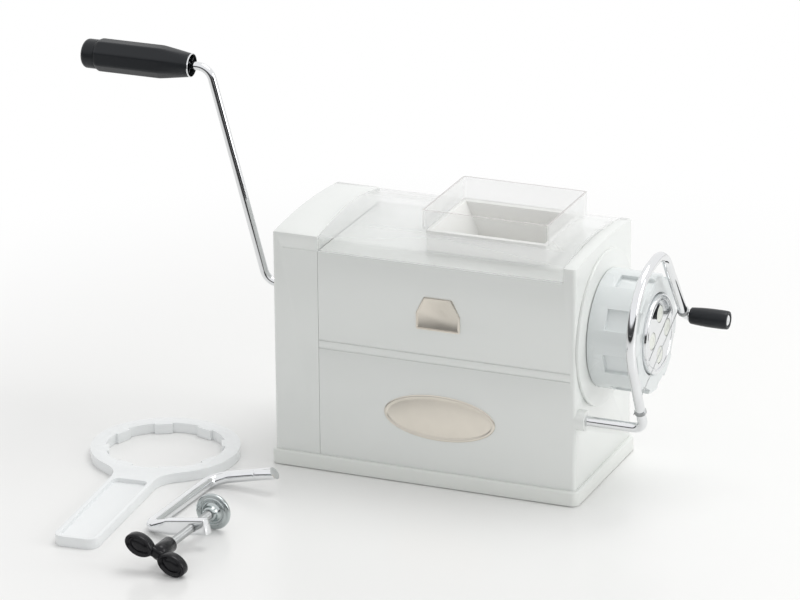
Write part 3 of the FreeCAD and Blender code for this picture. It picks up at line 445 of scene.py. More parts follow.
def workedMetal(name, look):
    n = metalNoise
    material, tree, surface = newMaterial(name)
    surface.inputs["Metallic"].default_value = 1.0
    place = addNode(tree, "ShaderNodeTexCoord")
    cloud = addNode(tree, "ShaderNodeTexNoise", {"Scale": n["cloudScale"], "Detail": n["cloudDetail"]})
    tone = addNode(tree, "ShaderNodeMix", data_type="RGBA")
    tone.inputs["A"].default_value = (*(c * n["darker"] for c in look["colour"]), 1)
    tone.inputs["B"].default_value = (*(min(1, c * n["lighter"]) for c in look["colour"]), 1)
    shine = addNode(tree, "ShaderNodeMapRange", {"To Min": look["rough"], "To Max": look["rough"] + look["spread"]})
    fine = addNode(tree, "ShaderNodeTexNoise", {"Scale": look["fine"], "Detail": n["fineDetail"]})
    bump = addNode(tree, "ShaderNodeBump", {"Strength": look["scratch"], "Distance": n["scratchHeight"]})
    link = tree.links.new
    link(place.outputs["Object"], cloud.inputs["Vector"])
    link(place.outputs["Object"], fine.inputs["Vector"])
    link(cloud.outputs["Fac"], tone.inputs["Factor"])
    link(tone.outputs["Result"], surface.inputs["Base Color"])
    link(cloud.outputs["Fac"], shine.inputs["Value"])
    link(shine.outputs[0], surface.inputs["Roughness"])
    link(fine.outputs["Fac"], bump.inputs["Height"])
    link(bump.outputs[0], surface.inputs["Normal"])
    return material


# the rim values give the top of the clear walls a darker colour, a painted shade for how they look when seen lengthways
clearLook = {"colour": (0.96, 0.97, 0.965), "rough": 0.06, "faceOn": 0.07, "edgeOn": 0.60, "facing": 0.35,
             "darker": 0.96, "flowScale": 25.0, "flowDetail": 2.0, "rimShadeColour": (0.55, 0.53, 0.52), "rimCover": 0.75,
             "rimRough": 0.15, "rimLighter": 1.25, "rimScale": 40.0}


def clearPlastic():  # seen through face on, fuller where the wall is seen along its edge
    material, tree, surface = newMaterial("clearPlastic")
    surface.inputs["Roughness"].default_value = clearLook["rough"]
    surface.inputs["Base Color"].default_value = (*clearLook["colour"], 1)
    place = addNode(tree, "ShaderNodeTexCoord")
    flow = addNode(tree, "ShaderNodeTexNoise", {"Scale": clearLook["flowScale"], "Detail": clearLook["flowDetail"]})
    tint = addNode(tree, "ShaderNodeMix", data_type="RGBA")
    tint.inputs["A"].default_value = (*(c * clearLook["darker"] for c in clearLook["colour"]), 1)
    tint.inputs["B"].default_value = (*clearLook["colour"], 1)
    facing = addNode(tree, "ShaderNodeLayerWeight", {"Blend": clearLook["facing"]})
    cover = addNode(tree, "ShaderNodeMapRange", {"To Min": clearLook["faceOn"], "To Max": clearLook["edgeOn"]})
    link = tree.links.new
    link(place.outputs["Object"], flow.inputs["Vector"])
    link(flow.outputs["Fac"], tint.inputs["Factor"])
    link(tint.outputs["Result"], surface.inputs["Base Color"])
    link(facing.outputs["Facing"], cover.inputs["Value"])
    link(cover.outputs[0], surface.inputs["Alpha"])
    return material


def clearRimPlastic():  # the narrow top of the clear walls, given a painted shade: a darker colour for how dark the wall looks when it is looked into lengthways
    material, tree, surface = newMaterial("clearRimPlastic")
    surface.inputs["Roughness"].default_value = clearLook["rimRough"]
    surface.inputs["Alpha"].default_value = clearLook["rimCover"]
    place = addNode(tree, "ShaderNodeTexCoord")
    flow = addNode(tree, "ShaderNodeTexNoise", {"Scale": clearLook["rimScale"], "Detail": clearLook["flowDetail"]})
    tint = addNode(tree, "ShaderNodeMix", data_type="RGBA")
    tint.inputs["A"].default_value = (*clearLook["rimShadeColour"], 1)
    tint.inputs["B"].default_value = (*(c * clearLook["rimLighter"] for c in clearLook["rimShadeColour"]), 1)
    tree.links.new(place.outputs["Object"], flow.inputs["Vector"])
    tree.links.new(flow.outputs["Fac"], tint.inputs["Factor"])
    tree.links.new(tint.outputs["Result"], surface.inputs["Base Color"])
    return material


paint = {name: mouldedPlastic(name + "Plastic", look) for name, look in finishes.items()}
paint.update({name: workedMetal(name + "Metal", look) for name, look in metals.items()})
paint["clear"] = clearPlastic()
paint["clearRim"] = clearRimPlastic()
print("materials mixed:", len(paint))


# casing, lid and funnel
casing = {"edge": 0.5 * mm, "lidEdge": 0.35 * mm, "shadedRimBand": 0.2 * mm}


def dressCasing():
    dressed("housing_shell", paint["casing"], casing["edge"])
    dressed("gear_cover", paint["casing"], casing["edge"])
    dressed("base_plate", paint["base"], casing["edge"])
    dressed("feed_funnel", paint["funnel"], casing["edge"])
    lid = dressed("clear_lid", paint["clear"], casing["lidEdge"])
    # the faces along the top of the lid's walls take the second material, whose darker colour is painted shade
    lid.data.materials.append(paint["clearRim"])
    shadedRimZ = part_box("clear_lid")[1].z - casing["shadedRimBand"]
    for face in lid.data.polygons:
        if all(lid.data.vertices[v].co.z > shadedRimZ for v in face.vertices):
            face.material_index = 1
    dressed("auger_barrel", paint["casing"], casing["edge"])


dressCasing()
print("casing dressed")


# plates on the front, left bare
badge = {"centre": (13.3 * mm, 148.4 * mm), "width": 38 * mm, "height": 28 * mm, "shoulder": 7 * mm, "thick": 0.9 * mm,
         "round": 1.8 * mm, "rim": 1.6 * mm, "rimRound": 1.2 * mm, "sunk": 0.5 * mm, "edge": 0.25 * mm}
ovalPlate = {"centre": (14.1 * mm, 59.4 * mm), "width": 96.5 * mm, "height": 39 * mm, "thick": 1.1 * mm,
             "rim": 3.2 * mm, "bead": 0.8 * mm, "sunk": 0.5 * mm, "edge": 0.3 * mm}


def roundCorners(points, radius, steps=6):
    made = []
    for i, corner in enumerate(points):
        path = roundedPath([(*points[i - 1], 0), (*corner, 0), (*points[(i + 1) % len(points)], 0)], [radius],
                           90 / steps)
        made += [(p.x, p.y) for p in path[1:-1]]
    return made


def ovalOutline(width, height, count=96):
    return [(width / 2 * math.cos(turn * i / count), height / 2 * math.sin(turn * i / count)) for i in range(count)]


def ontoFront(piece, centre):  # a plate made flat on z is stood up against the front wall
    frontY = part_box("housing_shell")[0].y
    piece.data.transform(Matrix.Translation((centre[0], frontY, centre[1])) @ Matrix.Rotation(math.pi / 2, 4, "X"))
    return piece


def makeBadge():
    w, h, s = badge["width"] / 2, badge["height"] / 2, badge["shoulder"]
    outline = [(-w, -h), (w, -h), (w, h - 2 * s), (w - s, h), (s - w, h), (-w, h - 2 * s)]
    inner = [(x * (1 - badge["rim"] / w), y * (1 - badge["rim"] / h)) for x, y in outline]
    piece = plate("smallPlate", roundCorners(outline, badge["round"]), badge["thick"])
    pocket = plate("pocket", roundCorners(inner, badge["rimRound"]), badge["thick"])
    pocket.data.transform(Matrix.Translation((0, 0, badge["thick"] - badge["sunk"])))
    bevelled(cut(piece, pocket), badge["edge"], 2)
    seat(smooth(ontoFront(piece, badge["centre"])), paint["nickel"], "housing")


def makeOvalPlate():
    w, h = ovalPlate["width"], ovalPlate["height"]
    rim, bead, thick = ovalPlate["rim"], ovalPlate["bead"], ovalPlate["thick"]
    heights = [(0, 0), (0, thick * 0.6), (bead, thick), (rim - bead, thick), (rim, thick - ovalPlate["sunk"]),
               (rim + bead, thick - ovalPlate["sunk"] * 0.8)]
    rings = [[Vector((x, y, z)) for x, y in ovalOutline(w - 2 * inset, h - 2 * inset)] for inset, z in heights]
    piece = bevelled(loftRings("ovalPlate", rings), ovalPlate["edge"], 2, 25)
    seat(smooth(ontoFront(piece, ovalPlate["centre"]), 40), paint["nickel"], "housing")


makeBadge()
makeOvalPlate()
print("front plates set, left bare")


# ring nut, die and its cores
nut = {"threadWall": 8.7 * mm, "lip": 4.3 * mm, "pockets": 8, "pocketStart": 14.1 * mm, "pocketDepth": 4.0 * mm,
       "pocketWidth": 17.0 * mm, "pocketPhase": -16.0, "frontRound": 1.8 * mm, "backEdge": 0.6 * mm,
       "mouthGap": 0.6 * mm, "mouthEdge": 1.2 * mm, "edge": 0.9 * mm}
die = {"bossRadius": 32.6 * mm, "bossLength": 7.9 * mm, "rim": 3.2 * mm, "groove": 1.0 * mm, "grooveDeep": 1.2 * mm,
       "faceSunk": 0.4 * mm, "grooveSlope": 0.5 * mm, "bossEdge": 0.8 * mm, "holeCircle": 17.5 * mm,
       "holeRadius": 7.3 * mm, "holes": 4, "edge": 0.3 * mm, "coreRound": 1.2 * mm, "coreDimple": 0.5 * mm}


def bodyAxis(node):
    low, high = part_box(node)
    return (low.y + high.y) / 2, (low.z + high.z) / 2


def makeNut():
    low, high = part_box("ring_nut")
    y, z = bodyAxis("ring_nut")
    radius = (high.y - low.y) / 2
    bore, mouth = radius - nut["threadWall"], die["bossRadius"] + nut["mouthGap"]
    lipX = high.x - nut["lip"]
    front, back, slope = nut["frontRound"], nut["backEdge"], nut["mouthEdge"]
    outline = [(low.x, bore), (low.x, radius - back), (low.x + back, radius)]
    outline += [(high.x - front + front * math.sin(a), radius - front + front * math.cos(a))
                for a in (turn / 4 * i / 6 for i in range(7))]
    outline += [(high.x, mouth + slope), (high.x - slope, mouth), (lipX, mouth), (lipX, bore)]
    piece = turned("ringNut", outline, y, z, 144, closed=True)
    for i in range(nut["pockets"]):
        tool = block("pocket", (low.x + nut["pocketStart"], radius - nut["pocketDepth"], -nut["pocketWidth"] / 2),
                     (high.x + mm, radius + mm, nut["pocketWidth"] / 2))
        angle = math.pi - math.radians(nut["pocketPhase"]) - turn * i / nut["pockets"]
        tool.data.transform(Matrix.Translation((0, y, z)) @ Matrix.Rotation(angle, 4, "X"))
        cut(piece, tool)
    bevelled(piece, nut["edge"], 3, 40)
    seat(smooth(piece), paint["nut"], "nut", "ring_nut")


def makeDie():
    low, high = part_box("die_plate")
    y, z = bodyAxis("die_plate")
    flange = (high.y - low.y) / 2
    shoulder = high.x - die["bossLength"]
    boss, rim = die["bossRadius"], die["rim"]
    outline = [(low.x, 0), (low.x, flange), (shoulder, flange), (shoulder, boss), (high.x - die["bossEdge"], boss)]
    outline += [(high.x - rim / 2 * (1 - math.sin(a)) * 0.5, boss - rim / 2 + rim / 2 * math.cos(a))
                for a in (turn / 2 * i / 10 for i in range(1, 10))]
    inner = boss - rim
    outline += [(high.x - die["grooveDeep"], inner), (high.x - die["grooveDeep"], inner - die["groove"]),
                (high.x - die["faceSunk"], inner - die["groove"] - die["grooveSlope"]), (high.x - die["faceSunk"], 0)]
    piece = turned("diePlate", outline, y, z, 128)
    centres = [(y + die["holeCircle"] * math.cos(turn * i / die["holes"]),
                z + die["holeCircle"] * math.sin(turn * i / die["holes"])) for i in range(die["holes"])]
    for centre in centres:
        cut(piece, turned("hole", [(low.x - mm, die["holeRadius"]), (high.x + mm, die["holeRadius"])], *centre, 64))
    bevelled(piece, die["edge"], 3, 40)
    seat(smooth(piece), paint["chrome"], "die", "die_plate")
    coreLow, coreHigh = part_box("die_cores")
    coreRadius = (coreHigh.y - coreLow.y) / 2 - die["holeCircle"]
    end, dimple = die["coreRound"], coreHigh.x - die["coreDimple"]
    outline = [(coreLow.x, 0), (coreLow.x, coreRadius)]
    outline += [(coreHigh.x - end * (1 - math.sin(a)), coreRadius - end * (1 - math.cos(a)))
                for a in (turn / 4 * k / 5 for k in range(6))]
    outline += [(coreHigh.x, coreRadius * 0.45), (dimple, coreRadius * 0.38), (dimple, 0)]
    for i, centre in enumerate(centres):
        seat(smooth(turned(f"dieCore{i}", outline, *centre, 48)), paint["core"], "die", "die_cores")


makeNut()
makeDie()
print("nut and die made")


# cutter bow
bow = {"rod": 4.0 * mm, "elbow": 9.0 * mm, "left": (-58.7 * mm, 124.7 * mm), "leftBend": 52.7 * mm,
       "top": (41.4 * mm, 136.7 * mm), "topBend": 31.8 * mm, "end": (95.2 * mm, 63.9 * mm), "endBend": 4.6 * mm,
       "neck": 5.0 * mm, "gap": 0.3 * mm, "thread": 3.0 * mm, "wire": 0.4 * mm, "tie": 0.55 * mm, "wireRise": 19.5 * mm,
       "wireDrop": 1.0 * mm, "tieTurns": 3, "threadEdge": 0.5 * mm, "overlap": 0.1 * mm}
cutterGrip = {"neck": 6.7 * mm, "body": 7.75 * mm, "rim": 7.45 * mm, "recess": 2.2 * mm, "bore": 2.9 * mm,
              "pin": 2.6 * mm, "button": 4.6 * mm, "buttonGap": 0.35 * mm, "buttonThick": 1.6 * mm,
              "collar": 5.1 * mm, "collarThick": 0.9 * mm, "end": 0.8 * mm, "steps": 17, "swell": 1.6, "fallFrom": 0.8}


def bowPoints():
    y, z = bodyAxis("cutter_nut")
    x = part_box("cutter_grip")[0].x - bow["gap"] - bow["neck"]
    points = [Vector((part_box("cutter_nut")[1].x + bow["gap"], y, z)), Vector((x, y, z))]
    points += [Vector((x, y + bow[k][0], z + bow[k][1])) for k in ("left", "top", "end")]
    return points + [points[-1] + Vector((bow["neck"], 0, 0))]


def makeCutter():
    points = bowPoints()
    rod = roundBar("cutterBow", points, [bow["elbow"], bow["leftBend"], bow["topBend"], bow["endBend"]], bow["rod"])
    low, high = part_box("cutter_rod")
    gripLow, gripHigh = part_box("cutter_grip")
    g = cutterGrip
    start, end = points[0], points[-1]
    slope, overlap, back = bow["threadEdge"], bow["overlap"], high.x - g["buttonThick"]
    thread = turned("cutterThread", [(low.x, 0), (low.x, bow["thread"] - slope), (low.x + slope, bow["thread"]),
                                     (start.x + overlap, bow["thread"]), (start.x + overlap, 0)], start.y, start.z, 48)
    pin = turned("pin", [(end.x - g["collarThick"], 0), (end.x - g["collarThick"], g["collar"]),
                         (end.x + overlap, g["collar"]), (end.x + overlap, g["pin"]),
                         (back, g["pin"]), (back, g["button"]),
                         (high.x - 0.6 * mm, g["button"]), (high.x - 0.15 * mm, g["button"] - 0.5 * mm),
                         (high.x, g["button"] - 1.3 * mm), (high.x - 0.1 * mm, 2.0 * mm), (high.x - 0.6 * mm, 1.4 * mm),
                         (high.x - 0.6 * mm, 0)], end.y, end.z, 64)
    piece = joined(rod, thread, bevelled(pin, 0.15 * mm, 2, 50))
    seat(smooth(piece, 40), paint["chrome"], "cutter", "cutter_rod")
    run = gripHigh.x - gripLow.x
    outline = [(gripLow.x, g["bore"]), (gripLow.x, g["neck"] - g["end"]), (gripLow.x + g["end"], g["neck"])]
    for i in range(1, g["steps"]):
        share = i / g["steps"]
        rise = 1 - (1 - min(1, share * g["swell"])) ** 2
        fall = max(0, share - g["fallFrom"]) / (1 - g["fallFrom"])
        outline.append((gripLow.x + g["end"] + (run - 2 * g["end"]) * share,
                        g["neck"] + (g["body"] - g["neck"]) * rise - (g["body"] - g["rim"]) * fall ** 2))
    inner = g["button"] + g["buttonGap"]
    outline += [(gripHigh.x - 0.7 * mm, g["rim"]), (gripHigh.x - 0.15 * mm, g["rim"] - 0.35 * mm),
                (gripHigh.x, g["rim"] - 0.9 * mm), (gripHigh.x, inner + 0.5 * mm), (gripHigh.x - 0.5 * mm, inner),
                (gripHigh.x - g["recess"], inner), (gripHigh.x - g["recess"], g["bore"])]
    handle = turned("cutterHandle", outline, end.y, end.z, 72, closed=True)
    seat(smooth(handle, 40), paint["blackGrip"], "cutter_handle", "cutter_grip")


def makeWire():
    elbow, left, top, end = bowPoints()[1:5]
    a = elbow + (left - elbow).normalized() * bow["wireRise"]
    b = end - (end - top).normalized() * (bow["wireDrop"] + bow["endBend"])
    reach = (b - a).normalized() * bow["rod"]
    off = Vector((-bow["rod"] - bow["wire"], 0, 0))
    wire = roundBar("cutterWire", [a - reach + off, b + reach + off], [], bow["wire"])
    for name, centre, along in (("lowTie", a, left - elbow), ("highTie", b, end - top)):
        axis = along.normalized()
        side = axis.orthogonal().normalized()
        across = axis.cross(side)
        coil = []
        for k in range(24 * bow["tieTurns"] + 1):
            t = turn * k / 24
            coil.append(centre + (side * math.cos(t) + across * math.sin(t)) * (bow["rod"] + bow["tie"] * 0.6)
                        + axis * (bow["tie"] * 1.9 * (t / turn - bow["tieTurns"] / 2)))
        wire = joined(wire, barAlong(name, coil, lambda share: (bow["tie"], bow["tie"], 2), 10))
    seat(smooth(wire, 60), paint["steel"], "cutter", "cutter_wire")


makeCutter()
makeWire()
print("cutter made")


# crank and its grip
crank = {"rod": 3.5 * mm, "footX": -165.5 * mm, "topX": -214.0 * mm, "bend": 13.0 * mm}
grip = {"body": 14.0 * mm, "flats": 8, "neck": 9.8 * mm, "cone": 26.0 * mm, "capRadius": 12.2 * mm,
        "capFace": 7.0 * mm, "capRise": 4.2 * mm, "hollow": 9.0 * mm, "wall": 1.6 * mm, "ribs": 4, "ribThick": 1.0 * mm,
        "ferrule": 0.5 * mm, "ferruleLong": 0.9 * mm, "ferruleOut": 0.1 * mm, "boreGap": 0.3 * mm, "cornerSoft": 0.985,
        "start": ((0, -1.4, 0.3), (0.5, -0.9, 0.5), (2.0, -0.1, 1), (3.0, 0, 1)), "shoulderIn": 0.15 * mm}


def makeCrankArm():
    low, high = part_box("crank_arm")
    r = crank["rod"]
    corners = [(high.x, 0, low.z + r), (crank["footX"], 0, low.z + r), (crank["topX"], 0, high.z - r),
               (low.x, 0, high.z - r)]
    arm = roundBar("crankArm", corners, [crank["bend"]] * 2, r)
    seat(smooth(arm, 50), paint["chrome"], "crank", "crank_arm")


def facetedRing(x, centre, radius, share, sides=96):  # share 1 is the flat sided section, 0 is round
    cy, cz = centre
    flats = grip["flats"]
    ring = []
    for i in range(sides):
        a = turn * i / sides
        off = (a + math.pi / flats) % (turn / flats) - math.pi / flats
        flat = min(radius * math.cos(math.pi / flats) / math.cos(off), radius * grip["cornerSoft"])
        r = flat * share + radius * (1 - share)
        ring.append(Vector((x, cy + r * math.sin(a), cz + r * math.cos(a))))
    return ring


def makeGrip():
    low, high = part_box("crank_grip")
    centre = (0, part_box("crank_arm")[1].z - crank["rod"])
    g = grip
    shoulder, bore, deep = high.x - g["cone"], crank["rod"] + g["boreGap"], high.x - g["hollow"]
    stations = [(low.x + x * mm, g["body"] + r * mm, share) for x, r, share in g["start"]]
    stations += [(shoulder - 1.5 * mm, g["body"], 1), (shoulder, g["body"] - g["shoulderIn"], 0.97)]
    for i in range(1, 11):
        share = i / 10
        stations.append((shoulder + (g["cone"] - 0.6 * mm) * share,
                         g["body"] - g["shoulderIn"] + (g["neck"] - g["body"]) * share ** 1.05,
                         0.97 * (1 - share) ** 0.7))
    stations += [(high.x, g["neck"] - 0.5 * mm, 0), (high.x, g["neck"] - g["wall"], 0),
                 (deep, g["neck"] - g["wall"] - 0.5 * mm, 0), (deep, bore, 0), (low.x, bore, 0)]
    body = loftRings("gripBody", [facetedRing(x, centre, r, share) for x, r, share in stations], closed=True)
    for i in range(g["ribs"]):
        rib = block("rib", (deep, crank["rod"] + 0.4 * mm, -g["ribThick"] / 2),
                    (high.x - 0.8 * mm, g["neck"] - g["wall"] + 0.2 * mm, g["ribThick"] / 2))
        rib.data.transform(Matrix.Translation((0, *centre)) @ Matrix.Rotation(turn * (i + 0.5) / g["ribs"], 4, "X"))
        body = joined(body, rib)
    seat(smooth(body, 24), paint["blackGrip"], "grip", "crank_grip")
    capLow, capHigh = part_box("grip_cap")
    rise = g["capRise"]
    outline = [(capLow.x, 0), (capLow.x, g["capFace"])]
    outline += [(capLow.x + rise * (1 - math.cos(a)), g["capFace"] + (g["capRadius"] - g["capFace"]) * math.sin(a))
                for a in (turn / 4 * i / 10 for i in range(1, 11))]
    outline += [(capHigh.x - 0.8 * mm, g["capRadius"]), (capHigh.x, g["capRadius"] - 0.6 * mm), (capHigh.x, 0)]
    seat(smooth(turned("gripCap", outline, *centre, 96), 28), paint["blackGrip"], "grip", "grip_cap")
    f, back, out = g["ferrule"], high.x - g["ferruleLong"], g["neck"] + g["ferruleOut"]
    ring = turned("gripFerrule", [(back, g["neck"] - g["wall"]), (back, out), (high.x - f * 0.4, out),
                                  (high.x, g["neck"] - f * 0.6), (high.x, g["neck"] - g["wall"])],
                  *centre, 72, closed=True)
    seat(smooth(ring), paint["chrome"], "grip", slot="chrome")


makeCrankArm()
makeGrip()
print("crank made")


# table clamp: made flat with its spine along x, then laid down like its node
clamp = {"rod": 5.0 * mm, "corner": (-165.5 * mm, -237.1 * mm), "heading": 86.7, "floorGap": 0.1 * mm,
         "spine": 110.3 * mm, "tip": 58.4 * mm, "tipLean": 1.6, "arm": 60.0 * mm, "armLean": 10.0, "armFlat": 3.5 * mm,
         "armHigh": 6.5 * mm, "armFrom": 14.0 * mm, "cornerBend": 9.0 * mm, "bend": 16.0 * mm, "screwAt": 45.0 * mm,
         "screw": 3.5 * mm, "thread": 0.4 * mm, "pitch": 1.25 * mm, "padAt": 24.0 * mm, "pad": 15.0 * mm,
         "step": 3.0 * mm, "padThick": 3.6 * mm, "padHub": 6.0 * mm, "padHubLength": 6.0 * mm, "padFloorGap": 0.35 * mm,
         "grooveAt": 19.0 * mm, "grooveWide": 0.8 * mm, "grooveDeep": 0.5 * mm, "tipSlant": 0.445, "edge": 0.25 * mm,
         "screwGap": 0.08 * mm, "screwTip": 3.0 * mm, "screwTipInto": 1.0 * mm, "padBore": 3.15 * mm,
         "padBored": 1.6 * mm, "padEdge": 0.15 * mm}
wing = {"reach": 47.0 * mm, "hub": 6.6 * mm, "hubLength": 27.0 * mm, "lobeOut": 15.2 * mm, "lobeLong": 12.5 * mm,
        "lobeWide": 8.5 * mm, "lobeDeep": 4.5 * mm, "web": 4.6 * mm, "saddleDip": 2.2 * mm, "hubBack": 4.2 * mm,
        "turnedBy": 36.0, "screwEnd": 7.0 * mm, "webBack": 8.6 * mm, "webFront": 1.2 * mm, "waist": 0.12,
        "lobeRows": ((0.12, -3.6), (0.34, -3.5), (0.50, -3.0), (0.60, -2.2), (0.66, -2.0), (0.72, -2.3), (0.79, -3.9),
                     (0.85, -4.4), (0.91, -4.35), (0.97, -3.7), (1.0, -2.6), (1.0, 2.6), (0.97, 3.8), (0.88, 4.5),
                     (0.4, 4.5))}


def layClamp(piece):
    tilt = math.asin((clamp["pad"] + clamp["padFloorGap"] - clamp["rod"]) / clamp["screwAt"])
    place = Matrix.Translation((*clamp["corner"], clamp["rod"] + clamp["floorGap"]))
    piece.data.transform(place @ Matrix.Rotation(math.radians(clamp["heading"]), 4, "Z")
                         @ Matrix.Rotation(math.pi - tilt, 4, "X"))
    return piece


def makeClampBar():
    lean, armLean = math.radians(clamp["tipLean"]), math.radians(clamp["armLean"])
    bend = Vector((clamp["spine"], 0, 0))
    tip = bend + Vector((math.sin(lean), math.cos(lean), 0)) * clamp["tip"]
    arm = Vector((-math.sin(armLean), math.cos(armLean), 0))
    path = [arm * (clamp["arm"] - clamp["step"] * k) for k in range(14)]
    path += roundedPath([path[-1] - arm * clamp["step"], Vector((0, 0, 0)), bend, tip],
                        [clamp["cornerBend"], clamp["bend"]], 3)
    away, grooveAt, grooveWide = (tip - bend).normalized(), clamp["grooveAt"], clamp["grooveWide"]
    path[-1:] = [tip - away * (grooveAt + grooveWide * share) for share in (2, 1.75, 1, 0, -0.75, -1)] + [tip]
    total = sum((b - a).length for a, b in zip(path, path[1:]))

    def section(share):  # flattened from its end to a little before the corner, with a groove near its tip
        blend = min(1, max(0, (clamp["arm"] - clamp["armFrom"] + 2 * mm - share * total) / (10 * mm)))
        blend = blend * blend * (3 - 2 * blend)
        fromTip = (1 - share) * total
        dip = clamp["grooveDeep"] if -0.05 * mm < fromTip - grooveAt < grooveWide + 0.05 * mm else 0
        return (clamp["rod"] - dip + (clamp["armHigh"] - clamp["rod"]) * blend,
                clamp["rod"] - dip + (clamp["armFlat"] - clamp["rod"]) * blend, 2 + 5 * blend)

    bar = barAlong("clampBar", path, section, 48, Vector((0, 0, 1)))
    bore = clamp["screw"] + clamp["screwGap"]
    hole = turned("hole", [(-80 * mm, bore), (20 * mm, bore)], clamp["screwAt"], 0, 48)
    cut(bar, hole)
    for vertex in bar.data.vertices:  # the tip is cut off at a slant
        if (vertex.co - tip).dot(away) > -0.01 * mm:
            vertex.co += away * ((vertex.co.z - clamp["rod"]) * clamp["tipSlant"])
    bevelled(bar, clamp["edge"], 2, 45)
    seat(smooth(layClamp(bar), 40), paint["chrome"], "clamp", "clamp_rod")


def makeScrew():
    start = -wing["reach"] - wing["hubLength"] + wing["screwEnd"]
    stop = clamp["padAt"] - clamp["padHubLength"] - 0.4 * mm
    tipEnd, tipRadius = clamp["padAt"] + clamp["screwTipInto"], clamp["screwTip"]
    sides, steps = 32, 5
    count = int((stop - start) / clamp["pitch"] * steps)
    rings = []
    for k in range(count + 1):
        x = start + (stop - start) * k / count
        ring = []
        for i in range(sides):
            a = turn * i / sides
            phase = (x / clamp["pitch"] - i / sides) % 1
            crest = 1 - abs(2 * phase - 1)
            r = clamp["screw"] - clamp["thread"] * (1 - crest)
            ring.append(Vector((x, clamp["screwAt"] + r * math.sin(a), r * math.cos(a))))
        rings.append(ring)
    screw = loftRings("clampScrew", rings)
    tip = turned("tip", [(stop - 0.2 * mm, 0), (stop - 0.2 * mm, tipRadius), (tipEnd, tipRadius), (tipEnd, 0)],
                 clamp["screwAt"], 0, 40)
    seat(smooth(layClamp(joined(screw, tip)), 50), paint["steel"], "clamp_screw", "clamp_screw")


def makePad():
    c = clamp
    at, hub, r, face = c["padAt"], c["padHub"], c["pad"], c["padAt"] + c["padThick"]
    back, bore, bored = at - c["padHubLength"], c["padBore"], at + c["padBored"]
    outline = [(back, bore), (back, hub - 1.2 * mm), (back + 1.0 * mm, hub - 0.3 * mm), (at - 2.4 * mm, hub),
               (at - 1.2 * mm, hub + 0.8 * mm), (at, hub + 2.0 * mm), (at + 0.3 * mm, 9.4 * mm),
               (at - 0.5 * mm, 9.9 * mm), (at - 0.6 * mm, 11.4 * mm), (at + 0.2 * mm, 11.9 * mm),
               (at + 0.2 * mm, 14.0 * mm), (at + 0.8 * mm, r - 0.2 * mm), (at + 1.5 * mm, r), (face - 0.7 * mm, r),
               (face, r - 0.8 * mm), (face, 0), (bored, 0), (bored, bore)]
    pad = turned("clampPad", outline, c["screwAt"], 0, 96, closed=True)
    seat(smooth(layClamp(bevelled(pad, c["padEdge"], 2, 35)), 32), paint["zinc"], "pad", "clamp_pad")


def lobeMesh(side):  # a pillow raised inside a rim, its face towards the end of the screw
    w = wing
    middle = -w["reach"] - w["hubLength"] + w["lobeDeep"]
    rings = []
    for share, depth in w["lobeRows"]:
        ring = []
        for i in range(56):
            a = turn * i / 56
            narrow = 1 - w["waist"] * max(0, -math.cos(a) * side) ** 2
            ring.append(Vector((middle + depth * mm, side * w["lobeOut"] + w["lobeLong"] * share * math.cos(a),
                                w["lobeWide"] * share * math.sin(a) * narrow)))
        rings.append(ring)
    return loftRings(f"lobe{side}", rings)


def makeWing():
    w = wing
    start = -w["reach"] - w["hubLength"]
    hubStart = start + w["hubBack"]
    bore, bored = clamp["screw"] + 0.05 * mm, start + w["screwEnd"]
    hub = turned("wingHub", [(hubStart, 0), (hubStart, w["hub"] * 0.45), (hubStart + 0.9 * mm, w["hub"] * 0.7),
                             (hubStart + 2.4 * mm, w["hub"] * 0.9), (hubStart + 5 * mm, w["hub"]),
                             (-w["reach"] - 0.8 * mm, w["hub"]), (-w["reach"], w["hub"] - 0.8 * mm),
                             (-w["reach"], bore), (bored, bore), (bored, 0)], 0, 0, 64)
    half = w["lobeOut"] - w["lobeLong"] * 0.45
    rings = []
    for i in range(13):  # the saddle between the lobes, lowest in its middle
        share = 2 * i / 12 - 1
        dip = 1 - share * share
        back, front = start + w["webBack"], start + w["webFront"] + w["saddleDip"] * dip
        deep, wide = (back - front) / 2, w["web"] * (1 - w["waist"] * dip)
        ring = []
        for k in range(32):
            c, s = math.cos(turn * k / 32), math.sin(turn * k / 32)
            reach = (abs(c) ** 3 + abs(s) ** 3) ** (-1 / 3)
            ring.append(Vector(((back + front) / 2 + deep * c * reach, half * share, wide * s * reach)))
        rings.append(ring)
    piece = joined(bevelled(hub, 0.2 * mm, 2, 50), loftRings("saddle", rings), lobeMesh(-1), lobeMesh(1))
    place = Matrix.Translation((0, clamp["screwAt"], 0)) @ Matrix.Rotation(math.radians(w["turnedBy"]), 4, "X")
    piece.data.transform(place)
    seat(smooth(layClamp(piece), 50), paint["blackWing"], "clamp_screw", "clamp_wing")


makeClampBar()
makeScrew()
makePad()
makeWing()
print("clamp made")


# ring wrench
wrench = {"centre": (-222.5 * mm, -84.0 * mm), "heading": -85.8, "thick": 8.6 * mm, "floorGap": 0.1 * mm,
          "bore": 49.6 * mm, "ring": 12.4 * mm, "tabs": 8, "tabWidth": 15.0 * mm, "tabDeep": 3.2 * mm,
          "reach": 205.0 * mm, "handle": 37.0 * mm, "corner": 9.0 * mm, "neck": 26.0 * mm, "rim": 3.6 * mm,
          "recess": 3.6 * mm, "recessGap": 16.0 * mm, "edge": 0.9 * mm}


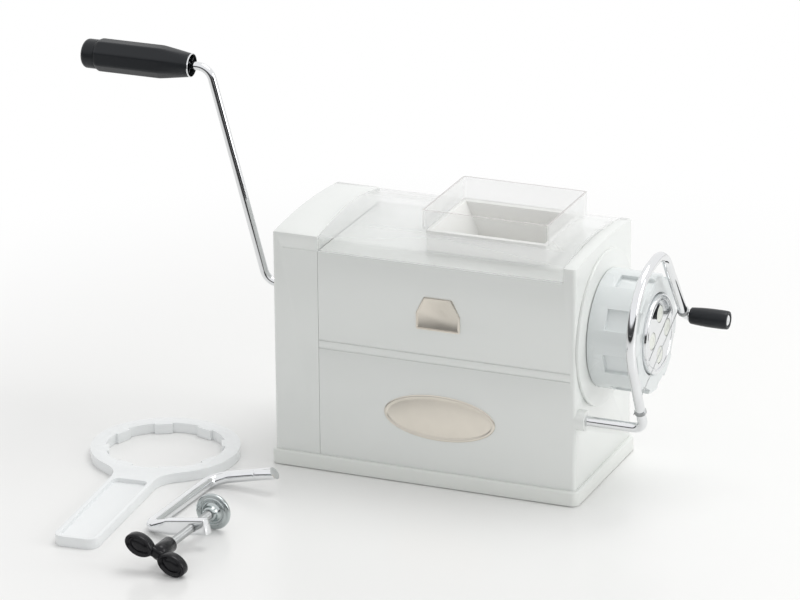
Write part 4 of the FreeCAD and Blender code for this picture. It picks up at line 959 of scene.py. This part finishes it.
def wrenchOutline():
    w = wrench
    outer, half = w["bore"] + w["ring"], w["handle"] / 2
    rim, drop = outer + w["neck"], half + w["neck"]
    run = math.sqrt(rim * rim - drop * drop)
    lean = math.atan2(drop, run)
    points = arcPoints(0, 0, outer, lean, turn - lean, 90)
    points += arcPoints(run, -drop, w["neck"], math.pi - lean, math.pi / 2, 12)[1:]
    points += arcPoints(w["reach"] - w["corner"], -half + w["corner"], w["corner"], -math.pi / 2, 0, 8)
    points += arcPoints(w["reach"] - w["corner"], half - w["corner"], w["corner"], 0, math.pi / 2, 8)
    points += arcPoints(run, drop, w["neck"], -math.pi / 2, lean - math.pi, 12)[:-1]
    return points


def wrenchHole():
    w = wrench
    halfTab = math.asin(w["tabWidth"] / 2 / w["bore"])
    step = turn / w["tabs"]
    points = []
    for i in range(w["tabs"]):
        middle = step * (i + 0.5)
        flat = w["bore"] - w["tabDeep"]
        points += [(flat * math.cos(middle) - s * w["tabWidth"] / 2 * math.sin(middle),
                    flat * math.sin(middle) + s * w["tabWidth"] / 2 * math.cos(middle)) for s in (-1, 1)]
        points += arcPoints(0, 0, w["bore"], middle + halfTab, middle + step - halfTab, 8)
    return points


def makeWrench():
    w = wrench
    outer, half = w["bore"] + w["ring"], w["handle"] / 2
    piece = plate("ringWrench", wrenchOutline(), w["thick"], wrenchHole())
    x0, x1, inner = outer + w["recessGap"], w["reach"] - w["rim"], half - w["rim"]
    corners = [(x0, -inner), (x1, -inner), (x1, inner), (x0, inner)]
    recess = plate("recess", roundCorners(corners, w["corner"] - w["rim"]), w["thick"])
    recess.data.transform(Matrix.Translation((0, 0, w["thick"] - w["recess"])))
    cut(piece, recess)
    bevelled(piece, w["edge"], 3, 40)
    piece.data.transform(Matrix.Translation((*w["centre"], w["floorGap"]))
                         @ Matrix.Rotation(math.radians(w["heading"]), 4, "Z"))
    seat(smooth(piece), paint["wrench"], "wrench", "ring_wrench")


makeWrench()
print("wrench made")


# inner pieces keep the frame's shapes and get worked materials
kept = {"rubber_feet": "rubber", "auger": "nylon", "crank_shaft": "steel", "crank_gear": "nylon",
        "feed_roller": "nylon", "roller_shaft": "steel", "roller_gear": "nylon", "cutter_nut": "zinc"}
for node, finish in kept.items():
    for place in nodes[node].material_slots:
        place.material = paint[finish]
print("inner pieces finished")
